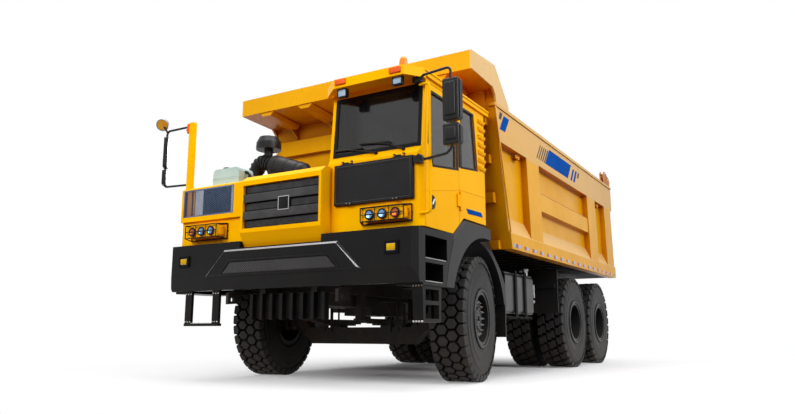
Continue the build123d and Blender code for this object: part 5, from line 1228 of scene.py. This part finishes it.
for place, size in (((1840, -1690, 3490), 52), ((1850, -1690, 2545), 50)):
    x, y, z = place
    block_mm(clamps, (x - size, x + size), (y - 34, y + 26), (z - 30, z + 32), 7, 2,
             Matrix.Rotation(-0.5, 3, "Y"))
    block_mm(clamps, (x - size + 10, x + 24), (y - 52, y - 18), (z + 10, z + 46), 6, 2,
             Matrix.Rotation(-0.5, 3, "Y"))
    bolt_heads(clamps, [(x - 22, y - 34, z), (x + 22, y - 34, z + 8)], (0, -1, 0), 10)
block_piece("mirror_backs", moulded,
            [((2190, 2385), (-1798, -1758), (low - 4, high + 4), 19, 4)
             for low, high in LEFT_MIRRORS]
            + [((2222, 2353), (-1822, -1790), (low + 46, high - 46), 15, 4)
               for low, high in LEFT_MIRRORS])
finish_piece("mirror_glasses", glasses, mirror_face)
finish_piece("mirror_clamps", clamps, moulded)
down = Vector((0.5, -0.72, -0.48)).normalized()
bowl, chrome = bmesh.new(), bmesh.new()
spin_section(chrome,
             [(0.018, 0.078), (0.030, 0.080), (0.032, 0.089), (0.018, 0.091), (0.010, 0.086)], 56,
             True)
spin_section(bowl, [(0.036, 0.001), (0.034, 0.030), (0.029, 0.058), (0.021, 0.080)], 56)
face_down = Vector((1, 0, 0)).rotation_difference(down).to_matrix()
for part in (chrome, bowl):
    bmesh.ops.rotate(part, cent=(0, 0, 0), matrix=face_down, verts=part.verts)
    move_all(part, spot(-2330, -1790, 3590))
# The round mirror's gold colour is a painted reflection of the yellow truck it looks at.
mirror_painted_reflection = make_finish("round_mirror_face", (214, 150, 46), (150, 96, 24), 0.12, metal=0.9,
                          dust=0.05, bump=0.0)
finish_piece("round_mirror_ring", chrome, silver_paint)
finish_piece("round_mirror_face", bowl, mirror_painted_reflection)
block_piece("post_side_lamp", orange,
            [((-1806, -1762), (-1812, -1742), (3372, 3516), 14, 3),
             ((-1860, -1800), (-1775, -1755), (3432, 3452), 5)])

# %% [markdown]
# ## Steps
# A step must not be slippery, so its edge is cut into teeth. A single tooth, repeated
# along the edge of each tread, gives that toothed line. The teeth are near white: a
# painted highlight for the glints on their edges.

# %% Toothed treads
# Near-white teeth: a painted highlight for glints on the steel.
tread_painted_glint = make_finish("tread_painted_glint", (226, 226, 224), (198, 198, 196), 0.35, dust=0.05)
teeth = bmesh.new()


def tooth_row(bm, start, stop, pitch=26, size=(13, 13, 11)):
    """Blocks with eased corners from start to stop, both in millimetres."""
    start, stop = Vector(start), Vector(stop)
    count = int((stop - start).length // pitch)
    for n in range(count + 1):
        x, y, z = start.lerp(stop, n / count)
        block_mm(bm, (x - size[0] / 2, x + size[0] / 2), (y - size[1] / 2, y + size[1] / 2),
                 (z, z + size[2]), 2, 1)


for side in (-1, 1):
    for z, rear in ((1434, -1160), (1179, -1265)):
        tooth_row(teeth, (side * 1892, -1672, z), (side * 1892, rear, z))
        tooth_row(teeth, (side * 1820, -1660, z), (side * 1820, rear - 20, z), 40)
for z in (1126, 739):
    tooth_row(teeth, (1872, -1690, z), (1872, -1300, z))
    tooth_row(teeth, (1772, -1712, z), (1876, -1712, z), 34, (20, 14, 20))
tooth_row(teeth, (-1640, -1790, 744), (-1050, -1790, 744))
for at_x in (-1592, -1098):
    tooth_row(teeth, (at_x - 44, -1802, 1120), (at_x + 44, -1802, 1120), 30, (16, 8, 16))
    tooth_row(teeth, (at_x - 44, -1802, 760), (at_x + 44, -1802, 760), 30, (16, 8, 16))
finish_piece("step_teeth", teeth, tread_painted_glint)

# %% [markdown]
# ## The fuel tank and the right-hand boxes
# Three welded shells hang in steel straps with rubber under them. The filler neck has a
# capped lid, and the battery box on the other side has a lid with two latches.

# %% Tank straps, filler and box lid
straps = bmesh.new()
for at_y in (1802, 2215):
    ring_of(straps,
            [spot(x, at_y - 46, z)
             for x, z in ((1058, 861), (1634, 861), (1634, 1569), (1058, 1569))], 0.024,
            Vector((0, 0.092, 0)), 0.008)
block_mm(straps, (1100, 1590), (1420, 2600), (838, 872), 8)
for at_y in (1500, 2000, 2500):
    block_mm(straps, (1560, 1622), (at_y - 22, at_y + 22), (826, 846), 5)
finish_piece("tank_straps", straps, shadow_black)
filler = bmesh.new()
turned(filler, "up",
       [(0.0, 0.001), (0.0, 0.046), (0.070, 0.046), (0.074, 0.058), (0.102, 0.060), (0.112, 0.052),
        (0.114, 0.001)], spot(1530, 2480, 1538))
for n in range(3):
    block_mm(filler, (1500 + n * 22, 1512 + n * 22), (2478, 2484), (1650, 1662), 3)
finish_piece("tank_filler", filler, silver_paint)
latch = bmesh.new()
block_mm(latch, (1600, 1614), (2660, 2700), (1180, 1400), 6)
front_ring(latch, (1560, 1610), (1200, 1390), 2642, 10, 10, 3)
rolled_rod(latch, spot(1585, 2640, 1120), spot(1585, 2700, 1120), 0.030, 20, 0.004)
finish_piece("tank_side_valves", latch, silver_paint)
lid_edge = bmesh.new()
ring_of(lid_edge,
        [spot(x, y, 1501) for x, y in ((-1072, 1388), (-1618, 1388), (-1618, 2008), (-1072, 2008))],
        0.030, Vector((0, 0, 0.018)), 0.004)
for at_y in (1540, 1850):
    block_mm(lid_edge, (-1624, -1606), (at_y - 25, at_y + 25), (1420, 1512), 5)
finish_piece("battery_box_lid", lid_edge, moulded)

# %% [markdown]
# ## The body's sides
# Reflective tape runs along each lower rail, stripes decorate the upper band, hooks for
# a tarpaulin stick out, weld beads run where the posts meet the rails, and small plates
# close the corners under the canopy.

# %% Reflective tape
reds, pales = bmesh.new(), bmesh.new()
for side in (-1, 1):
    wall = sorted((side * 1993, side * 1996.5))
    block_mm(pales, wall, (790, 868), (1808, 1860), 1, 1)
    for n in range(18):
        start = 876 + n * 346
        block_mm(reds, wall, (start, start + 88), (1808, 1860), 1, 1)
        block_mm(pales, wall, (start + 92, start + 180), (1808, 1860), 1, 1)
finish_piece("red_tape", reds, red_glow, "dump_body")
finish_piece("pale_tape", pales, pale_glow, "dump_body")

# %% Plain stripes on the upper band
blues, greys = bmesh.new(), bmesh.new()
BAND_X = 1980
STRIPES = (
    (blues, ((587, 3672), (798, 3672), (622, 3437), (417, 3437))),
    (greys, ((437, 3690), (543, 3690), (478, 3583), (400, 3583))),
    (blues, ((2632, 3652), (3905, 3652), (3665, 3364), (2392, 3364))),
    (blues, ((4010, 3606), (4100, 3606), (3924, 3364), (3830, 3364))),
    (blues, ((4180, 3606), (4280, 3606), (4104, 3364), (4004, 3364))),
    (greys, ((4360, 3606), (4440, 3606), (4352, 3488), (4272, 3488))))
LINES = [(2165 + n * 92, 2205 + n * 95) for n in range(5)]
STRIPES += tuple((greys, ((a, 3622), (b, 3622), (b - 205, 3366), (a - 205, 3366)))
                 for a, b in LINES)
for side in (-1, 1):
    for bm, corners in STRIPES:
        cut_plate(bm, [spot(side * (BAND_X + 0.3), y, z) for y, z in corners],
                  Vector((side * 0.0012, 0, 0)))
finish_piece("blue_stripes", blues, band_blue, "dump_body")
finish_piece("grey_stripes", greys, band_grey, "dump_body")

# %% Tarpaulin hooks and weld beads
hooks, welds = bmesh.new(), bmesh.new()
for side in (-1, 1):
    for at_y in (1180, 5810):
        block_mm(hooks, sorted((side * 1872, side * 1880)), (at_y - 70, at_y + 70), (3140, 3240), 4)
        block_mm(hooks, sorted((side * 1876, side * 1960)), (at_y - 8, at_y + 8), (3150, 3230), 5)
        rolled_rod(hooks, spot(side * 1940, at_y - 62, 3190), spot(side * 1940, at_y + 62, 3190),
                   0.016, 16, 0.004)
        for y in (at_y - 62, at_y + 62):
            rolled_rod(hooks, spot(side * 1940, y, 3172), spot(side * 1940, y, 3222), 0.015, 14,
                       0.004)
    runs = [((y, 3250), (y + 98, 2160)) for y in (1480, 2050, 4910, 5500, 6250, 6810)]
    runs += [((500, 3254), (6930, 3254)), ((2130, 2872), (4950, 2872)),
             ((2150, 2498), (4990, 2498))]
    for start, stop in runs:
        rolled_rod(welds, spot(side * 1875, *start), spot(side * 1875, *stop), 0.008, 8)
finish_piece("tarpaulin_hooks", hooks, bed_yellow, "dump_body")
finish_piece("weld_beads", welds, bed_yellow, "dump_body")

# %% Corner plates under the canopy
corner_plates = bmesh.new()
for side in (-1, 1):
    cut_plate(corner_plates,
              [spot(side * x, 286, z)
               for x, z in ((1560, 3780), (1952, 3780), (1952, 3990), (1560, 3990))],
              Vector((0, 0.014, 0)))
    block_mm(corner_plates, sorted((side * 1740, side * 1950)), (276, 288), (3940, 3990), 4)
finish_piece("canopy_corner_plates", corner_plates, bed_yellow, "dump_body")

# %% [markdown]
# ## Air and cooling
# The intake draws air through the round cap, down the neck and through the filter, and a
# silver pipe leads it to the engine. Wide clamps hold each rubber joint.

# %% Intake pipe and clamps
pipe = bmesh.new()
rolled_rod(pipe, spot(-1213, -900, 2452), spot(-1323, -900, 2872), 0.0785, 40, 0.002)
finish_piece("intake_pipe_sleeve", pipe, silver_paint)
clamps = bmesh.new()


def clamp_band(bm, start, stop, radius, width=0.018):
    """A band round a pipe that runs from start to stop, at its middle, with a bolt."""
    start, stop = Vector(start), Vector(stop)
    way = (stop - start).normalized()
    middle = (start + stop) / 2
    side = way.orthogonal().normalized()
    rolled_rod(bm, middle - way * width / 2, middle + way * width / 2, radius + 0.004, 40, 0.001)
    rolled_rod(bm, middle + side * (radius + 0.010) - way.cross(side) * 0.030,
               middle + side * (radius + 0.010) + way.cross(side) * 0.030, 0.006, 10, 0.001)


for share in (0.16, 0.5, 0.84):
    place = spot(-960, -900, 2985).lerp(spot(-430, -900, 2800), share)
    along = (spot(-430, -900, 2800) - spot(-960, -900, 2985)).normalized() * 0.02
    clamp_band(clamps, place - along, place + along, 0.165, 0.024)
clamp_band(clamps, spot(-1213, -900, 2452), spot(-1235, -900, 2536), 0.0785)
clamp_band(clamps, spot(-1301, -900, 2788), spot(-1323, -900, 2872), 0.0785)
clamp_band(clamps, spot(-1090, -900, 3190), spot(-1090, -900, 3236), 0.064)
finish_piece("intake_clamps", clamps, frame_grey)
cap_slots = bmesh.new()
for z in (3266, 3292):
    turned(cap_slots, "up", [(0.0, 0.178), (0.0, 0.183), (0.010, 0.183), (0.010, 0.178)],
           spot(-1090, -900, z), 48, True)
finish_piece("intake_cap_rings", cap_slots, moulded)

# %% Expansion tank cap and seam
tank_cap = bmesh.new()
turned(tank_cap, "up",
       [(0.0, 0.001), (0.0, 0.034), (0.024, 0.034), (0.024, 0.046), (0.048, 0.048), (0.054, 0.042),
        (0.054, 0.001)], spot(-1380, -1420, 2852), 32)
for n in range(12):
    turn = math.tau * n / 12
    x, y = -1380 + 50 * math.cos(turn), -1420 + 50 * math.sin(turn)
    rolled_rod(tank_cap, spot(x, y, 2874), spot(x, y, 2900), 0.006, 8)
finish_piece("expansion_tank_cap", tank_cap, moulded)
seam = bmesh.new()
for z in (2700, 2722):
    ring_of(seam,
            [spot(x, y, z)
             for x, y in ((-1504, -1564), (-1016, -1564), (-1016, -1276), (-1504, -1276))], 0.008,
            Vector((0, 0, 0.010)), 0.002)
finish_piece("expansion_tank_seam", seam, pale_green)

# %% [markdown]
# ## The tailgate's hinges
# The gate hangs from two thick ears on the body's rear corners, each with its pins.

# %% Hinge ears and pins
ear_yellow = make_finish("ear_yellow", (206, 128, 2), (150, 80, 2), 0.4, wear=0.5,
                         wear_colour=(120, 70, 20), shine=0.1)
ears, pins = bmesh.new(), bmesh.new()
for side in (-1, 1):
    for x in (1900, 1978):
        outline = [(6360, 3790), (6840, 3790), (6860, 3890), (6790, 3960), (6660, 3985),
                   (6520, 4040), (6400, 4050), (6360, 4000)]
        wall = bmesh.new()
        cut_plate(wall, [spot(side * x, y, z) for y, z in outline], Vector((side * 0.016, 0, 0)))
        join_part(ears, wall)
    rolled_rod(pins, spot(side * 1888, 6700, 3900), spot(side * 2004, 6700, 3900), 0.036, 24, 0.004)
    rolled_rod(pins, spot(side * 1880, 6440, 4000), spot(side * 2000, 6440, 4000), 0.028, 20, 0.004)
    rolled_rod(pins, spot(side * 1996, 6700, 3900), spot(side * 2010, 6700, 3900), 0.016, 6, 0.002)
finish_piece("hinge_ears", ears, ear_yellow, "dump_body")
finish_piece("hinge_pins", pins, nut_steel, "dump_body")

# %% [markdown]
# ## The driver's seat
# The seat is padded cloth. Cloth with a little pressure inside swells between its
# corners, which gives a cushion its crown. The swelling is limited, so that the pad
# stays in its frame, and stitched channels are pressed in afterwards.

# %% Blow up the pads
seat_cloth = make_finish("seat_fabric", (52, 53, 56), (42, 43, 46), 0.85, fineness=700, bump=0.6,
                         shine=0.15, dust=0.1, clean_above=0.5)
VOXEL = 0.014  # the pads' mesh, in metres
SWELL_STEPS = 20  # frames of the simulation
SWELL_CAP = 0.022  # no point moves further than this


def as_shown(piece):
    """A new mesh with the piece's modifiers applied."""
    shown = piece.evaluated_get(bpy.context.evaluated_depsgraph_get())
    return bpy.data.meshes.new_from_object(shown)


def plump_pad(name, low, high, ease=45):
    """A padded block in millimetres, swelled by Cloth up to SWELL_CAP."""
    box = bmesh.new()
    block_mm(box, (low[0], high[0]), (low[1], high[1]), (low[2], high[2]), ease, 4)
    mesh = bpy.data.meshes.new(name)
    box.to_mesh(mesh)
    box.free()
    pad = bpy.data.objects.new(name, mesh)
    scene.collection.objects.link(pad)
    remesh = pad.modifiers.new("remesh", "REMESH")
    remesh.mode = "VOXEL"
    remesh.voxel_size = VOXEL
    even = as_shown(pad)
    pad.modifiers.clear()
    pad.data = even
    rest = [vert.co.copy() for vert in even.vertices]
    cloth = pad.modifiers.new("cloth", "CLOTH")
    cloth.settings.use_pressure = True
    cloth.settings.uniform_pressure_force = 4
    cloth.settings.effector_weights.gravity = 0
    cloth.settings.quality = 5
    cloth.point_cache.frame_start, cloth.point_cache.frame_end = 1, SWELL_STEPS
    for step in range(1, SWELL_STEPS + 1):
        scene.frame_set(step)
    swelled = as_shown(pad)
    pad.modifiers.clear()
    pad.data = swelled
    scene.frame_set(1)
    for vert, start in zip(swelled.vertices, rest):
        move = vert.co - start
        if move.length > SWELL_CAP:
            vert.co = start + move * SWELL_CAP / move.length
    shape = bmesh.new()
    shape.from_mesh(pad.data)
    bmesh.ops.smooth_vert(shape, verts=shape.verts, factor=0.5, use_axis_x=True, use_axis_y=True,
                          use_axis_z=True)
    bpy.data.objects.remove(pad)
    return shape


def press_channels(shape, lines, way, depth=0.012, width=0.012):
    """Stitched channels: verts near one of the lines, on the side that faces way, sink in."""
    shape.normal_update()
    for vert in shape.verts:
        if vert.normal.dot(way) > 0.35:
            near = min(abs(vert.co.x * 1000 - line) for line in lines)
            vert.co -= Vector(way) * depth * math.exp(-(near / 1000 / width) ** 2)


cushion = plump_pad("cushion_form", (992, -622, 2338), (1468, -138, 2452))
press_channels(cushion, (1100, 1230, 1360), Vector((0, 0, 1)))
backrest = plump_pad("back_form", (1010, -196, 2462), (1450, -70, 3062))
press_channels(backrest, (1110, 1230, 1350), Vector((0, -1, 0)))
join_part(cushion, backrest)
seat_pads = finish_piece("driver_seat_pads", cushion, seat_cloth, "chassis", 80)
soft = seat_pads.modifiers.new("soft", "SUBSURF")
soft.levels = soft.render_levels = 1
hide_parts("driver_seat")
pedestal = bmesh.new()
block_mm(pedestal, (1085, 1375), (-515, -245), (2068, 2110), 8)
for z in (2112, 2160, 2208, 2256, 2304):
    block_mm(pedestal, (1105, 1355), (-495, -265), (z, z + 26), 10, 3)
    block_mm(pedestal, (1125, 1335), (-475, -285), (z + 20, z + 50), 4)
for x in (982, 1474):
    block_mm(pedestal, (x - 16, x + 16), (-560, -250), (2350, 2392), 8)
block_mm(pedestal, (1060, 1400), (-60, -22), (2560, 2980), 14, 3)
finish_piece("driver_seat_base", pedestal, moulded)

# %% [markdown]
# ## Underneath and behind
# Springs are clamped to their axles by long U-shaped bolts, the rear axles carry round
# brake chambers, and two lamp clusters hang from the frame's tail.

# %% Spring clamps, brake chambers and tail lamps
u_bolts, chambers = bmesh.new(), bmesh.new()
for side in (-1, 1):
    for y in (-95, 95):
        for dx in (-58, 58):
            x = side * 560 + dx
            rolled_rod(u_bolts, spot(x, y, 640), spot(x, y, 1020), 0.014, 12, 0.002)
for side in (-1, 1):
    for axle_y in (4300, 6030):
        place = spot(side * 470, axle_y - 190, 905)
        way = Vector((side * 0.15, -1, 0.1)).normalized()
        rolled_rod(chambers, place, place + way * 0.05, 0.092, 28, 0.012)
        rolled_rod(chambers, place + way * 0.052, place + way * 0.060, 0.104, 28, 0.002)
        rolled_rod(chambers, place + way * 0.062, place + way * 0.170, 0.090, 28, 0.022)
finish_piece("brake_chambers", chambers, cast_iron)
finish_piece("spring_clamps", u_bolts, cast_iron)
tail_boxes, tail_reds, tail_ambers = bmesh.new(), bmesh.new(), bmesh.new()
for side in (-1, 1):
    block_mm(tail_boxes, sorted((side * 250, side * 520)), (6618, 6668), (1040, 1150), 8)
    for near, far, lens in ((262, 342, tail_reds), (348, 428, tail_reds), (434, 508, tail_ambers)):
        block_mm(lens, sorted((side * near, side * far)), (6664, 6678), (1052, 1138), 5, 3)
finish_piece("tail_lamp_boxes", tail_boxes, moulded)
finish_piece("tail_lamp_reds", tail_reds, red_glow)
finish_piece("tail_lamp_ambers", tail_ambers, amber_glow)

# %% [markdown]
# ## Last trims
# A plain stripe on the cab's side, hoses at the expansion tank and folded edges at the
# body's front corners close the list.

# %% Cab stripe, hoses and folded edges
stripe = bmesh.new()
cut_plate(stripe,
          [spot(1881, y, z) for y, z in ((-540, 2160), (-70, 2176), (-20, 2118), (-480, 2100))],
          Vector((0.0012, 0, 0)))
finish_piece("cab_stripe", stripe, band_blue)
hoses = bmesh.new()
for dy, dz in ((0, 0), (70, -46)):
    points = [spot(-1022, -1430 + dy, 2800 + dz), spot(-985, -1430 + dy, 2790 + dz),
              spot(-955, -1400 + dy, 2740 + dz), spot(-950, -1380 + dy, 2640 + dz),
              spot(-950, -1375 + dy, 2560 + dz)]
    for start, stop in zip(points, points[1:]):
        rolled_rod(hoses, start, stop, 0.017, 14)
        bmesh.ops.create_icosphere(hoses, subdivisions=2, radius=0.017,
                                   matrix=Matrix.Translation(stop))
    rolled_rod(hoses, points[0], points[0] + (points[1] - points[0]) * 0.5, 0.021, 16, 0.002)
finish_piece("expansion_tank_hoses", hoses, moulded)
edges = bmesh.new()
for side in (-1, 1):
    top, foot = Vector((side * 1.985, 0, 0)), Vector((side * 1.985, 0, 0))
    top.yz, foot.yz = spot(0, 276, 3740).yz, spot(0, 716, 2010).yz
    rolled_rod(edges, top, foot, 0.011, 10, 0.002)
    block_mm(edges, sorted((side * 1880, side * 1992)), (262, 300), (3742, 3786), 5)
finish_piece("body_folded_edges", edges, bed_yellow, "dump_body")
